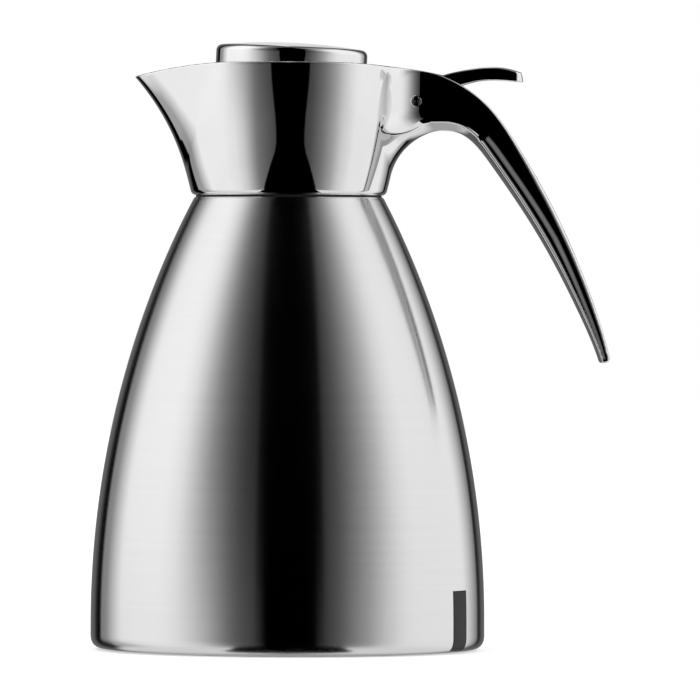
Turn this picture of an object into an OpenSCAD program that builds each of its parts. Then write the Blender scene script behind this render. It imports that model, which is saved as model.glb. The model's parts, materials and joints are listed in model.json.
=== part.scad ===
// Thermal carafe with a hinged flip lid.
// A double-walled steel body carries a cast head with a spout and a horn handle.
// The lid, its thumb lever and its plug turn together on one cross pin.
// Z is up, the handle points along +X and the spout along -X.
// The origin is the centre of the face that the carafe stands on.

/* [Body] */
// Diameter of the body at its widest
body_d = 142.8; // [138:0.2:148]
// Height of the shoulder that carries the head
shoulder_z = 164; // [158:0.5:172]
// Diameter of the body at the shoulder
shoulder_d = 70; // [69:0.1:71]
// Height where the straight foot ends and the side starts to curve in
side_start_z = 10; // [8:0.5:14]
// Height of the control point that sets how full the side is
side_belly_z = 87.5; // [80:0.5:95]
// Height of the rounded foot edge
foot_h = 5; // [4:0.25:7]
// How far the foot edge turns inwards
foot_turn = 5.4; // [4.5:0.1:7]
// Wall of the outer shell
shell_wall = 0.8; // [0.6:0.05:1]

/* [Base] */
// Height of the shell's lower edge above the table
foot_lift = 0.5; // [0.3:0.1:1]
// Width of the lip that carries the base plate
base_lip_w = 3; // [2:0.25:4]
// Thickness of the base plate
base_plate_t = 0.8; // [0.6:0.1:1.2]
// Radial play of the base plate inside the foot
base_plate_play = 0.4; // [0.2:0.1:1]
// Radius of the dimple in the base plate
dimple_r = 10; // [7:0.5:14]
// Depth of the dimple in the base plate
dimple_h = 2.2; // [1.8:0.1:3.5]
// Radius of the seal that closes the evacuation hole
seal_off_r = 4; // [3:0.25:6]
// Thickness of the seal that closes the evacuation hole
seal_off_t = 0.9; // [0.6:0.1:1.4]
// Radial gap between the pad and the lip around it
pad_play = 2.6; // [1:0.1:4]
// Number of grip grooves in the pad
pad_grooves = 4; // [2:1:6]
// Width of one grip groove
pad_groove_w = 1.6; // [1:0.1:2.4]
// Depth of the grip grooves
pad_groove_h = 0.5; // [0.3:0.05:0.8]

/* [Flask] */
// Width of the vacuum space
vacuum_gap = 6.5; // [5:0.25:8]
// Wall of the inner flask
flask_wall = 0.6; // [0.4:0.05:0.8]
// Height of the flask's lowest face
flask_floor_z = 13; // [11:0.5:18]
// Radius of the flask's lower corner
flask_corner_r = 12; // [8:0.5:16]
// Width of the rim around the flask's mouth
mouth_rim_w = 5; // [4.4:0.1:6]
// Height over which the flask narrows to its neck
flask_shoulder_h = 7; // [5:0.25:10]
// Radius of the getter pellet
getter_r = 7; // [4:0.5:10]
// Thickness of the getter pellet
getter_t = 1.8; // [1:0.1:3]

/* [Neck] */
// How far the shell's neck stands back from the shoulder's edge
neck_step = 5.5; // [5.2:0.05:6]
// Height of the shell's neck above the shoulder
neck_h = 20; // [19:0.25:22]
// Thickness of the threaded ring around the neck
thread_ring_t = 1.7; // [1.2:0.05:1.8]
// Height of the threaded ring
thread_ring_h = 12; // [10:0.5:13]
// Gap between the flange and the threaded ring
thread_ring_gap = 0.5; // [0.3:0.1:1]
// Pitch of the thread
thread_pitch = 2; // [1.5:0.25:3]
// Depth of the thread
thread_depth = 0.5; // [0.3:0.05:0.7]
// Wall of the clamp nut
nut_wall = 2; // [1.5:0.05:2.05]
// Height of the clamp nut
nut_h = 6; // [4:0.25:9]
// Play between the nut and the threaded ring
nut_play = 0.1; // [0.05:0.01:0.2]
// Width of the spanner notches in the nut
nut_notch_w = 4; // [3:0.25:6]
// Depth of the spanner notches in the nut
nut_notch_h = 2; // [1:0.25:3]

/* [Head] */
// Thickness of the gasket under the head
head_gasket_t = 0.5; // [0.4:0.05:1]
// How far the gasket lies inside the head's edge
head_gasket_inset = 0.6; // [0.3:0.1:1]
// Height of the head from its gasket to the rim
head_h = 48.6; // [46:0.2:52]
// How far the head overhangs the shoulder
head_overhang = 0.1; // [0:0.05:0.4]
// How much the head's radius grows from the neck to the rim
head_flare = 5.2; // [4.6:0.1:6]
// How early the flare happens
head_flare_power = 2.6; // [2:0.1:3.2]
// Wall of the head
head_wall = 2.4; // [2:0.05:2.4]
// Edge radius at the bottom of the head
head_edge_r = 1.2; // [0.6:0.1:1.8]
// Edge radius at the rim
rim_edge_r = 0.5; // [0.3:0.05:0.8]
// Height of the clamping flange inside the head
flange_h = 3.5; // [3:0.1:4]
// Play between the flange and the threaded ring
flange_play = 0.3; // [0.2:0.05:0.5]
// How far the spout reaches past the round rim
spout_reach = 15.5; // [12:0.25:18]
// Height above the head's base where the spout starts
spout_start = 3.5; // [1:0.5:8]
// How fast the spout curls outwards
spout_power = 2.18; // [1.8:0.02:2.5]
// Radius of the spout's tip, seen from above
spout_tip_r = 8.5; // [7:0.25:11]
// Radius of the spout's crease where it starts
spout_root_r = 28; // [22:0.5:30]
// How far the rim dips at the spout's tip
spout_dip = 5; // [3:0.25:7]
// Height of the spout's lip, where it reaches out no further
spout_lip = 0.8; // [0.4:0.1:1.4]
// How far the rim dips at the handle
handle_dip = 1.9; // [1:0.1:3]
// How far behind the head's front the rim's dip to the spout starts
spout_dip_back = 11.1; // [8:0.1:14]
// Length of the rim's dip to the spout
spout_dip_run = 31; // [28:0.5:34]
// How far in front of the axis the rim's dip to the handle starts
handle_dip_front = 2.5; // [0:0.1:5]
// Length of the rim's dip to the handle
handle_dip_run = 42.5; // [40:0.5:45]

/* [Handle] */
// How far the handle's end stands out from the head
handle_reach = 81.2; // [76:0.2:86]
// How far the handle's end lies below the rim
handle_drop = 107.1; // [100:0.2:114]
// Thickness of the handle at its end
handle_end_t = 3.9; // [3:0.1:6]
// How far out the handle's shoulder lies
handle_knee_out = 43.9; // [42:0.2:46]
// How far the handle's shoulder lies below the rim
handle_knee_down = 24.1; // [22.5:0.2:25.5]
// How far out the handle's back starts to fall
handle_back_out = 24.9; // [23.5:0.1:26.5]
// How far the handle's back lies below the rim there
handle_back_down = 7.1; // [6.6:0.1:7.6]
// How far out the arch under the handle has its top
arch_out = 19.9; // [18.5:0.1:21.5]
// How far the arch's top lies below the rim
arch_down = 25.3; // [24.8:0.1:26.5]
// How far out the arch turns down into the grip
arch_end_out = 30.9; // [29.5:0.1:32.5]
// How far the arch's end lies below the rim
arch_end_down = 28.2; // [27.6:0.1:29.2]
// Width of the handle at its shoulder
handle_w = 19.6; // [19:0.2:24]
// Width of the handle at its end
handle_end_w = 10; // [8:0.2:14]
// How much wider the handle's root is on each side
root_flare = 12.5; // [9:0.25:15]
// Distance over which the root's flare fades
root_fade = 6.5; // [5:0.25:8]
// Length of the rounded end of the handle
handle_nose = 1.8; // [1:0.1:3]

/* [Hinge] */
// How far the hinge pin lies outside the head's lower edge
hinge_out = 10.9; // [10.4:0.1:11.4]
// How far the hinge pin lies below the rim
hinge_down = 14.3; // [13.9:0.1:14.7]
// Diameter of the hinge pin
pin_d = 3; // [2.6:0.1:3.4]
// Length of the hinge pin
pin_l = 19.2; // [18:0.1:19.6]
// Diameter of the recess around each pin end
pin_recess_d = 3.5; // [3.5:0.1:4.2]
// Running clearance of the bushes on the pin, on the radius
pin_clear = 0.05; // [0.03:0.01:0.1]
// Wall of the bushes
bush_wall = 0.85; // [0.7:0.05:1]
// Wall of the hinge barrel around the bushes
barrel_wall = 1.8; // [1.5:0.05:2]
// Width of the hinge barrel
barrel_w = 13.4; // [13:0.1:13.6]
// Gap between moving and fixed faces
run_clear = 0.3; // [0.2:0.05:0.4]
// Width of the space for the spring
spring_bay_w = 5.6; // [5.2:0.1:6]
// Depth of the hinge pocket below the pin
pocket_down = 5.8; // [5.5:0.1:6]
// How far the hinge pocket reaches towards the handle
pocket_out = 14; // [13.5:0.1:15]
// Space between the barrel and the wall behind the basin
pocket_in_gap = 1.5; // [1.2:0.1:1.8]
// Room below the lever when the lid is open
channel_clear = 1.8; // [1:0.1:2]
// Height of the basin's rear wall above the pin
dam_up = 1.7; // [1:0.1:2]

/* [Spring] */
// Wire diameter of the return spring
wire_d = 0.9; // [0.7:0.05:1]
// Mean radius of the spring's coils
coil_r = 3.1; // [2.9:0.05:3.3]
// Whole turns of the spring, besides its half turn
coil_turns = 3; // [2:1:3]
// Free gap between neighbouring coils
coil_gap = 0.45; // [0.42:0.01:0.5]
// Length of the spring's legs
leg_l = 10.4; // [8:0.2:10.8]
// Slope of the upper leg, in degrees
leg_rise = 8; // [5:0.5:10]

/* [Lid] */
// How much smaller the cap's radius is than the shoulder's
cap_step = 7.6; // [7.2:0.1:8.6]
// Height of the cap's dome above the rim, at its middle
cap_rise = 6.8; // [5:0.2:9]
// How far the cap reaches down behind the rim
cap_sink = 2.2; // [1.6:0.1:2.4]
// Radius of the cap's dome
cap_dome_r = 150; // [110:5:300]
// Edge radius of the cap
cap_edge_r = 2.4; // [1:0.1:2.6]
// Wall of the cap
cap_wall = 1.2; // [0.8:0.1:1.6]
// Tilt of the cap towards the handle, in degrees
cap_tilt = 2.7; // [1:0.1:3]
// How far the cap's middle lies behind the body's axis
cap_shift = 1; // [0:0.1:1.5]
// Radial play between the cap and the plug in it
cap_play = 0.7; // [0.6:0.05:1]
// Wall of the lid's plug
core_wall = 1.5; // [1.2:0.1:2]
// Thickness of the plug's floor
core_floor_t = 1.5; // [1.2:0.1:2]
// Thickness of the lid's seal
lid_seal_t = 1.8; // [1.4:0.1:2.2]
// Width of the sealing ring
lid_seal_w = 4.5; // [3.5:0.1:5.5]
// Gap between the closed seal and its lip
seal_gap = 0.2; // [0.15:0.05:0.3]
// Radius of the plug's central post
post_r = 5; // [4:0.25:6]
// Thickness of the lever's plate inside the lid
plate_t = 2; // [1.5:0.1:2.4]
// Radius of the lever's plate inside the lid
plate_r = 16; // [14:0.25:19]
// Height of the foam in the plug
foam_h = 5.2; // [3:0.1:5.5]
// Play around the foam
foam_play = 0.3; // [0.2:0.05:0.5]
// Depth of the plug's notch for the arm, below the lever's plate
arm_notch_h = 5.5; // [5:0.1:6]
// Number of screws that hold the cap
lid_screw_count = 3; // [3:1:4]
// Radius of the circle that the cap's screws stand on
lid_screw_ring_r = 10.5; // [9:0.25:12]
// Radius of the cap screws' shanks
lid_screw_r = 1.2; // [1:0.1:1.6]
// Radius of the cap screws' heads
lid_screw_head_r = 2.3; // [2:0.1:2.8]
// Height of the cap screws' heads
lid_screw_head_h = 1.5; // [1:0.1:1.6]
// Length of the cap screws in the cap's bosses
lid_screw_grip = 3.5; // [2:0.1:4]
// Wall of the cap's bosses around the screws
boss_wall = 1.6; // [1.2:0.1:2]
// Radius of the plug screw's shank
plug_screw_r = 2; // [1.5:0.1:2.5]
// Radius of the plug screw's head
plug_screw_head_r = 4; // [3.2:0.1:5]
// Height of the plug screw's head
plug_screw_head_h = 1.6; // [1:0.1:2.2]
// Clearance of the holes that the plug screw passes, on the radius
screw_clear = 0.2; // [0.1:0.05:0.4]

/* [Pour deck] */
// Thickness of the gasket between flask and deck
mouth_gasket_t = 1.5; // [1:0.1:2]
// How far the mouth gasket stays back from the opening
mouth_gasket_back = 0.5; // [0.2:0.1:1]
// How far the deck's opening lies inside the flask's mouth
deck_hole_step = 1; // [0.6:0.1:2]
// Wall of the deck's collar
deck_collar_wall = 3; // [2.4:0.1:3.4]
// Height of the deck's sealing lip above the flask's mouth
deck_lip_h = 11.4; // [11:0.1:11.8]
// Thickness of the deck's floor
deck_floor_t = 1.6; // [1.2:0.1:2]
// Height of the deck's floor at the collar, below the lip
deck_floor_down = 5.5; // [4.5:0.1:6]
// How much the deck's floor rises to the head's wall
deck_floor_rise = 4; // [3:0.1:4.5]
// Gap between the deck and the head's wall
deck_play = 0.3; // [0.2:0.05:0.4]

/* [Thumb lever] */
// Width of the lever
arm_w = 13.4; // [13:0.1:13.6]
// Corner radius of the thumb rest, seen from above
tip_corner = 4.8; // [3:0.1:6]
// Thickness of the thumb rest
paddle_t = 4.6; // [3.8:0.1:5.2]
// How far the thumb rest reaches past the hinge pin
paddle_out = 39; // [36:0.2:42]
// Height of the thumb rest's crown above the hinge pin
paddle_up = 12.7; // [12:0.1:14]
// How far the arm lies below the rim
arm_top_down = 1.8; // [1.6:0.1:2.2]
// How far the arm reaches in from the head's edge
arm_in = 10.6; // [10:0.1:12]
// Greatest turn of the lid, in degrees
lid_turn = 22; // [18:0.5:22]

/* [Hidden] */
$fn = 96;

body_r = body_d / 2;
shoulder_r = shoulder_d / 2;
neck_r = shoulder_r - neck_step;
neck_top_z = shoulder_z + neck_h;
mouth_r = neck_r - mouth_rim_w;
lip_top_z = foot_lift + shell_wall;
plate_top_z = lip_top_z + base_plate_t;
foot_flat_r = body_r - foot_turn;
base_hole_r = foot_flat_r - base_lip_w;
pad_r = base_hole_r - pad_play;

head_z = shoulder_z + head_gasket_t;
head_r = shoulder_r + head_overhang;
rim_z = head_z + head_h;
flange_top_z = head_z + flange_h;
thread_ring_r = neck_r + thread_ring_t;
flange_hole_r = thread_ring_r + flange_play;
nut_bore_r = thread_ring_r + nut_play;
nut_r = nut_bore_r + nut_wall;
flask_mouth_z = neck_top_z + flask_wall;
deck_z = flask_mouth_z + mouth_gasket_t;
deck_hole_r = mouth_r - deck_hole_step;
deck_collar_r = deck_hole_r + deck_collar_wall;
lip_z = deck_z + deck_lip_h;
deck_floor_z = lip_z - deck_floor_down;

hinge_x = head_r + hinge_out;
hinge_z = rim_z - hinge_down;
pin_r = pin_d / 2;
bush_bore_r = pin_r + pin_clear;
bush_r = bush_bore_r + bush_wall;
barrel_r = bush_r + barrel_wall;
slot_w = arm_w + 2 * run_clear;
pocket_x = hinge_x - barrel_r - pocket_in_gap;
pocket_end_x = hinge_x + pocket_out;
pocket_floor_z = hinge_z - pocket_down;

seal_z = lip_z + seal_gap;
core_z = seal_z + lid_seal_t;
cap_r = shoulder_r - cap_step;
core_r = cap_r - cap_wall - cap_play;
cap_base_z = rim_z - cap_sink;
cap_h = cap_sink + cap_rise;
plate_top = cap_base_z - 0.4;
plate_z = plate_top - plate_t;
core_top_z = plate_top - 0.3;
seal_mid_r = deck_hole_r + deck_collar_wall / 2;
retainer_r = seal_mid_r - lid_seal_w / 2;

// Quadratic and cubic curves through 2-D points, and a point on a chain of cubics.
function bez2(p, t) = (1 - t)^2 * p[0] + 2 * t * (1 - t) * p[1] + t^2 * p[2];
function bez3(p, t) =
    (1 - t)^3 * p[0] + 3 * t * (1 - t)^2 * p[1] + 3 * t^2 * (1 - t) * p[2] + t^3 * p[3];
function chain_at(chain, s) =
    let (i = min(floor(s), len(chain) - 1))
    bez3(chain[i], s - i);
function unit(v) = v / norm(v);

// ---- Body ----

// The side's curve from the shoulder down to the straight foot.
side_curve = [[shoulder_r, shoulder_z], [body_r, side_belly_z], [body_r, side_start_z]];
side_steps = 28;
function side_slope(t) =
    unit(2 * (1 - t) * (side_curve[1] - side_curve[0]) + 2 * t * (side_curve[2] - side_curve[1]));
// A point on the side moved inwards, square to the surface.
function side_point(t, inset) =
    let (d = side_slope(t))
    bez2(side_curve, t) + inset * [d[1], -d[0]];
function side_points(inset, low_z, high_z) =
    [for (i = [0:side_steps])
        let (p = side_point(i / side_steps, inset))
        if (p[1] > low_z && p[1] < high_z) p];
// A corner from a vertical wall at radius r to a floor at height z.
function corner_points(r, z, h, turn) =
    let (p = [[r, z + h], [r, z], [r - turn, z]])
    [for (i = [0:8]) bez2(p, i / 8)];

module outer_shell() {
    under_z = shoulder_z - shell_wall;
    color("silver")
    rotate_extrude()
    polygon(concat(
        [[neck_r - shell_wall, neck_top_z], [neck_r, neck_top_z], [neck_r, shoulder_z]],
        side_points(0, side_start_z - 1, shoulder_z + 1),
        corner_points(body_r, foot_lift, foot_h, foot_turn),
        [[base_hole_r, foot_lift], [base_hole_r, lip_top_z]],
        [for (i = [8:-1:0])
            corner_points(body_r - shell_wall, lip_top_z, foot_h - shell_wall,
                foot_turn - shell_wall)[i]],
        [for (p = [for (i = [side_steps:-1:0]) side_point(i / side_steps, shell_wall)])
            if (p[1] < under_z) p],
        [[neck_r - shell_wall, under_z]]
    ));
}

// One side of the flask's wall: from the mouth down to the middle of its floor.
function flask_line(inset, wall_in) =
    let (
        floor_z = flask_floor_z + wall_in,
        r = body_r - inset,
        turn = flask_corner_r - wall_in,
        neck = mouth_r + flask_wall - wall_in,
        end_z = side_point(0, inset)[1]
    )
    concat(
        [[neck, end_z + flask_shoulder_h]],
        side_points(inset, floor_z + turn + 1, end_z + 1),
        corner_points(r, floor_z, turn, turn),
        [[0, floor_z]]
    );

module inner_flask() {
    outer = flask_line(shell_wall + vacuum_gap, 0);
    inner = flask_line(shell_wall + vacuum_gap + flask_wall, flask_wall);
    color("gainsboro")
    rotate_extrude()
    polygon(concat(
        [[mouth_r, flask_mouth_z], [neck_r, flask_mouth_z], [neck_r, neck_top_z],
            [mouth_r + flask_wall, neck_top_z]],
        outer,
        [for (i = [len(inner) - 1:-1:0]) inner[i]]
    ));
}

module base_plate() {
    rise = [0, dimple_h];
    color("darkgray")
    rotate_extrude()
    polygon([
        [foot_flat_r - base_plate_play, lip_top_z],
        [dimple_r + dimple_h, lip_top_z],
        [dimple_r, lip_top_z] + rise,
        [0, lip_top_z] + rise,
        [0, plate_top_z] + rise,
        [dimple_r + base_plate_t / 2, plate_top_z] + rise,
        [dimple_r + dimple_h + base_plate_t / 2, plate_top_z],
        [foot_flat_r - base_plate_play, plate_top_z]
    ]);
}

// Closes the evacuation hole, on the underside of the dimple.
module seal_off_cap() {
    color("dimgray")
    translate([0, 0, lip_top_z + dimple_h - seal_off_t])
    cylinder(r = seal_off_r, h = seal_off_t);
}

// Pellet that binds stray gas, welded under the flask's floor.
module getter() {
    color("gray")
    translate([0, 0, flask_floor_z - getter_t])
    cylinder(r = getter_r, h = getter_t);
}

module base_pad() {
    color([0.08, 0.08, 0.08])
    difference() {
        cylinder(r = pad_r, h = lip_top_z);
        for (i = [1:pad_grooves])
            rotate_extrude()
            translate([pad_r - 3 * i * pad_groove_w, -1])
            square([pad_groove_w, pad_groove_h + 1]);
    }
}

// ---- Neck ----

module neck_thread_ring() {
    base_z = flange_top_z + thread_ring_gap;
    turns = floor(thread_ring_h / thread_pitch);
    color("darkgray")
    rotate_extrude()
    polygon(concat(
        [[neck_r, base_z + thread_ring_h], [neck_r, base_z]],
        [for (i = [0:turns - 1], step = [0, 0.3, 0.5, 0.8])
            [thread_ring_r - (step == 0 || step == 0.8 ? thread_depth : 0),
                base_z + (i + step) * thread_pitch]],
        [[thread_ring_r - thread_depth, base_z + thread_ring_h]]
    ));
}

module head_gasket() {
    color([0.06, 0.06, 0.06])
    translate([0, 0, shoulder_z])
    difference() {
        cylinder(r = head_r - head_gasket_inset, h = head_gasket_t);
        translate([0, 0, -1])
        cylinder(r = flange_hole_r, h = head_gasket_t + 2);
    }
}

module clamp_nut() {
    color("dimgray")
    translate([0, 0, flange_top_z])
    difference() {
        cylinder(r = nut_r, h = nut_h);
        translate([0, 0, -1])
        cylinder(r = nut_bore_r, h = nut_h + 2);
        for (a = [0:60:300])
            rotate([0, 0, a])
            translate([0, -nut_notch_w / 2, nut_h - nut_notch_h])
            cube([nut_r + 1, nut_notch_w, nut_notch_h + 1]);
    }
}

module mouth_gasket() {
    color([0.75, 0.75, 0.72])
    translate([0, 0, flask_mouth_z])
    difference() {
        cylinder(r = neck_r, h = mouth_gasket_t);
        translate([0, 0, -1])
        cylinder(r = mouth_r + mouth_gasket_back, h = mouth_gasket_t + 2);
    }
}

// ---- Head ----

// Radius of the round part of the head at height z.
function bowl_r(z) =
    let (u = max(0, min(1, (z - head_z) / head_h)))
    head_r + head_flare * (1 - (1 - u)^head_flare_power);
// How far the spout stands out from the round part at height z.
function spout_at(z) =
    let (v = max(0, (z - head_z - spout_start) / (head_h - spout_start - spout_dip - spout_lip)))
    spout_reach * v^spout_power;
// Plan of the head: the outline around a large circle and a small one at the spout.
// a is the angle away from the spout.
function head_plan(a, z) =
    let (
        r = bowl_r(z),
        tip = r + spout_at(z),
        v = max(0, min(1, (z - head_z) / head_h)),
        rho = spout_root_r + (spout_tip_r - spout_root_r) * v,
        d = tip - rho,
        flank = acos(min(1, (r - rho) / d)),
        touch = atan2(rho * sin(flank), d + rho * cos(flank))
    )
    a >= flank ? r
    : a > touch ? r / cos(flank - a)
    : d * cos(a) + sqrt(max(0, rho^2 - (d * sin(a))^2));
// Height of the rim: it dips towards the spout and a little towards the handle.
function rim_height(a) =
    let (
        x = -head_plan(a, rim_z - spout_dip) * cos(a),
        front = max(0, (-x - head_r + spout_dip_back) / spout_dip_run),
        rear = max(0, (x + handle_dip_front) / handle_dip_run)
    )
    rim_z - spout_dip * front^2 - handle_dip * rear^2;

// Columns stand closer together near the spout.
head_cols = 64;
col_crowding = 1.4;
function col_angle(i) =
    let (u = 2 * i / head_cols - 1)
    180 * sign(u) * abs(u)^col_crowding;
function head_ring(inset, height) =
    [for (i = [0:head_cols - 1])
        let (a = col_angle(i), z = height[i], r = head_plan(abs(a), z) - inset)
        [-r * cos(a), -r * sin(a), z]];
function even(z) = [for (i = [0:head_cols - 1]) z];
function toward_rim(u, from_z, drop) =
    [for (i = [0:head_cols - 1])
        from_z + u * (rim_height(abs(col_angle(i))) - drop - from_z)];

// Skin between rings of equal length, closed by a flat floor and a peaked roof.
module ring_stack(rings, peak) {
    n = len(rings[0]);
    m = len(rings);
    points = concat([for (ring = rings) for (p = ring) p], [peak]);
    polyhedron(points, concat(
        [[for (i = [0:n - 1]) i]],
        [for (j = [0:m - 2], i = [0:n - 1])
            each let (a = j * n + i, b = j * n + (i + 1) % n)
            [[a, a + n, b + n], [a, b + n, b]]],
        [for (i = [0:n - 1]) [(m - 1) * n + i, m * n, (m - 1) * n + (i + 1) % n]]
    ));
}

module bowl_outside() {
    low_z = head_z + head_edge_r;
    bevel = head_edge_r * 0.3;
    ring_stack(concat(
        [head_ring(head_edge_r, even(head_z)), head_ring(bevel, even(head_z + bevel))],
        [for (j = [0:11]) head_ring(0, toward_rim(j / 11, low_z, rim_edge_r))],
        [head_ring(rim_edge_r, toward_rim(1, low_z, 0))]
    ), [0, 0, rim_z]);
}

module bowl_inside() {
    ring_stack(concat(
        [for (j = [0:8]) head_ring(head_wall, toward_rim(j / 8, flange_top_z, rim_edge_r))],
        [head_ring(head_wall - rim_edge_r, toward_rim(1, flange_top_z, 0))],
        [head_ring(head_wall - rim_edge_r, toward_rim(1, flange_top_z, -3))]
    ), [0, 0, rim_z + 4]);
}

// Upper and lower outline of the handle, from the head to its end.
handle_root = [head_r - 2, rim_z - 1.1];
handle_over = [head_r + handle_back_out, rim_z - handle_back_down];
handle_knee = [head_r + handle_knee_out, rim_z - handle_knee_down];
handle_end = [head_r + handle_reach, rim_z - handle_drop];
under_root = [head_r - head_edge_r / 2, head_z];
under_top = [head_r + arch_out, rim_z - arch_down];
under_turn = [head_r + arch_end_out, rim_z - arch_end_down];
end_angle = 18;
under_end = handle_end - handle_end_t * [cos(end_angle), sin(end_angle)];
function between(a, b, fx, fz) = [a[0] + fx * (b[0] - a[0]), a[1] + fz * (b[1] - a[1])];
top_chain = [
    [handle_root, between(handle_root, handle_over, 0.45, 0),
        between(handle_root, handle_over, 0.74, 0.33), handle_over],
    [handle_over, between(handle_over, handle_knee, 0.42, 0.27),
        between(handle_over, handle_knee, 0.74, 0.62), handle_knee],
    [handle_knee, between(handle_knee, handle_end, 0.35, 0.229),
        between(handle_knee, handle_end, 0.7775, 0.6386), handle_end]
];
under_chain = [
    [under_root, between(under_root, under_top, 0.07, 0.58),
        between(under_root, under_top, 0.38, 1), under_top],
    [under_top, between(under_top, under_turn, 0.45, 0),
        between(under_top, under_turn, 0.77, 0.28), under_turn],
    [under_turn, between(under_turn, under_end, 0.279, 0.186),
        between(under_turn, under_end, 0.751, 0.629), under_end]
];

// Half width of the handle where its middle lies at x.
function handle_half_w(x) =
    let (f = max(0, (x - handle_over[0]) / (handle_end[0] - handle_over[0])))
    root_flare * exp(-(x - handle_root[0]) / root_fade)
    + handle_w / 2 - (handle_w - handle_end_w) / 2 * f^1.5;
handle_sides = 16;
handle_steps = 10;
back_roundness = 0.35;
grip_roundness = 0.8;
// A section between two outline points, a superellipse that is squarer towards the back.
function handle_ring(top, low, half_w, scale, ahead) =
    let (mid = (top + low) / 2, up = (top - low) / 2, go = unit([up[1], -up[0]]))
    [for (k = [0:handle_sides - 1])
        let (
            a = 360 * (k + 0.5) / handle_sides,
            e = sin(a) > 0 ? back_roundness : grip_roundness,
            c = sign(cos(a)) * abs(cos(a))^e,
            s = sign(sin(a)) * abs(sin(a))^e,
            p = mid + scale * s * up + ahead * go
        )
        [p[0], scale * c * half_w, p[1]]];

module horn() {
    n = handle_sides;
    rings = concat(
        [for (i = [0:3 * handle_steps])
            let (s = i / handle_steps, top = chain_at(top_chain, s), low = chain_at(under_chain, s))
            handle_ring(top, low, handle_half_w((top[0] + low[0]) / 2), 1, 0)],
        [handle_ring(handle_end, under_end, handle_end_w / 2, 0.8, handle_nose * 0.6),
            handle_ring(handle_end, under_end, handle_end_w / 2, 0.35, handle_nose)]
    );
    m = len(rings);
    polyhedron([for (ring = rings) for (p = ring) p], concat(
        [[for (i = [0:n - 1]) i]],
        [for (j = [0:m - 2], i = [0:n - 1])
            each let (a = j * n + i, b = j * n + (i + 1) % n)
            [[a, a + n, b + n], [a, b + n, b]]],
        [[for (i = [n - 1:-1:0]) (m - 1) * n + i]]
    ));
}

// A side outline in X and Z, as wide as w across the middle plane.
module across(w) {
    translate([0, w / 2, 0])
    rotate([90, 0, 0])
    linear_extrude(w)
    children();
}
module cross_rod(r, l) {
    translate([hinge_x, l / 2, hinge_z])
    rotate([90, 0, 0])
    cylinder(r = r, h = l);
}

// A point of the lever, from the pin, when the lid is fully open.
function turned(p) =
    [p[0] * cos(lid_turn) + p[1] * sin(lid_turn), p[1] * cos(lid_turn) - p[0] * sin(lid_turn)];

// Room in the head and handle for the lever, open at the top.
module lever_slot() {
    top_z = rim_z + 5;
    near = [pocket_end_x - 1, hinge_z + turned(neck_low)[1] - channel_clear];
    far = [hinge_x + turned(belly)[0] + 2, hinge_z + turned(belly)[1] - channel_clear];
    across(slot_w)
    polygon([
        [head_r - 5, top_z], [head_r - 5, hinge_z + dam_up], [pocket_x, hinge_z + dam_up],
        [pocket_x, pocket_floor_z], [pocket_end_x, pocket_floor_z], [pocket_end_x, top_z]
    ]);
    across(slot_w)
    polygon([[near[0], top_z], near, far, [far[0], top_z]]);
}

module head_casting() {
    color([0.82, 0.83, 0.85])
    difference() {
        union() {
            bowl_outside();
            horn();
        }
        bowl_inside();
        translate([0, 0, head_z - 1])
        cylinder(r = flange_hole_r, h = flange_h + 2);
        lever_slot();
        cross_rod(pin_r, 60);
        for (side = [-1, 1])
            translate([0, side * (pin_l / 2 + 10), 0])
            cross_rod(pin_recess_d / 2, 20);
    }
}

// ---- Pour deck ----

module pour_deck() {
    n = head_cols;
    edge_z = deck_floor_z + deck_floor_rise;
    root_r = deck_hole_r + deck_collar_wall / 2;
    edge = head_wall + deck_play;
    function circle_ring(r, z) =
        [for (i = [0:n - 1]) [-r * cos(col_angle(i)), -r * sin(col_angle(i)), z]];
    rings = [
        circle_ring(root_r, deck_floor_z - deck_floor_t),
        head_ring(edge, even(edge_z - deck_floor_t)),
        head_ring(edge, even(edge_z)),
        circle_ring(root_r, deck_floor_z)
    ];
    color([0.09, 0.09, 0.1]) {
        rotate_extrude()
        polygon([
            [deck_hole_r, deck_z], [neck_r, deck_z], [neck_r, deck_floor_z - deck_floor_t],
            [deck_collar_r, deck_floor_z], [deck_collar_r, lip_z - 0.8],
            [deck_collar_r - 0.8, lip_z], [deck_hole_r + 0.4, lip_z], [deck_hole_r, lip_z - 0.4]
        ]);
        polyhedron([for (ring = rings) for (p = ring) p],
            [for (j = [0:3], i = [0:n - 1])
                each let (
                    a = j * n + i, b = j * n + (i + 1) % n,
                    c = (j + 1) % 4 * n + (i + 1) % n, d = (j + 1) % 4 * n + i
                )
                [[a, d, c], [a, c, b]]]);
    }
}

// ---- Hinge ----

module hinge_pin() {
    color("silver")
    cross_rod(pin_r, pin_l);
}

module hinge_bushes() {
    bush_l = (barrel_w - spring_bay_w) / 2;
    color([0.85, 0.84, 0.78])
    for (side = [-1, 1])
        translate([0, side * (spring_bay_w + bush_l) / 2, 0])
        difference() {
            cross_rod(bush_r, bush_l);
            cross_rod(bush_bore_r, bush_l + 2);
        }
}

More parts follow.
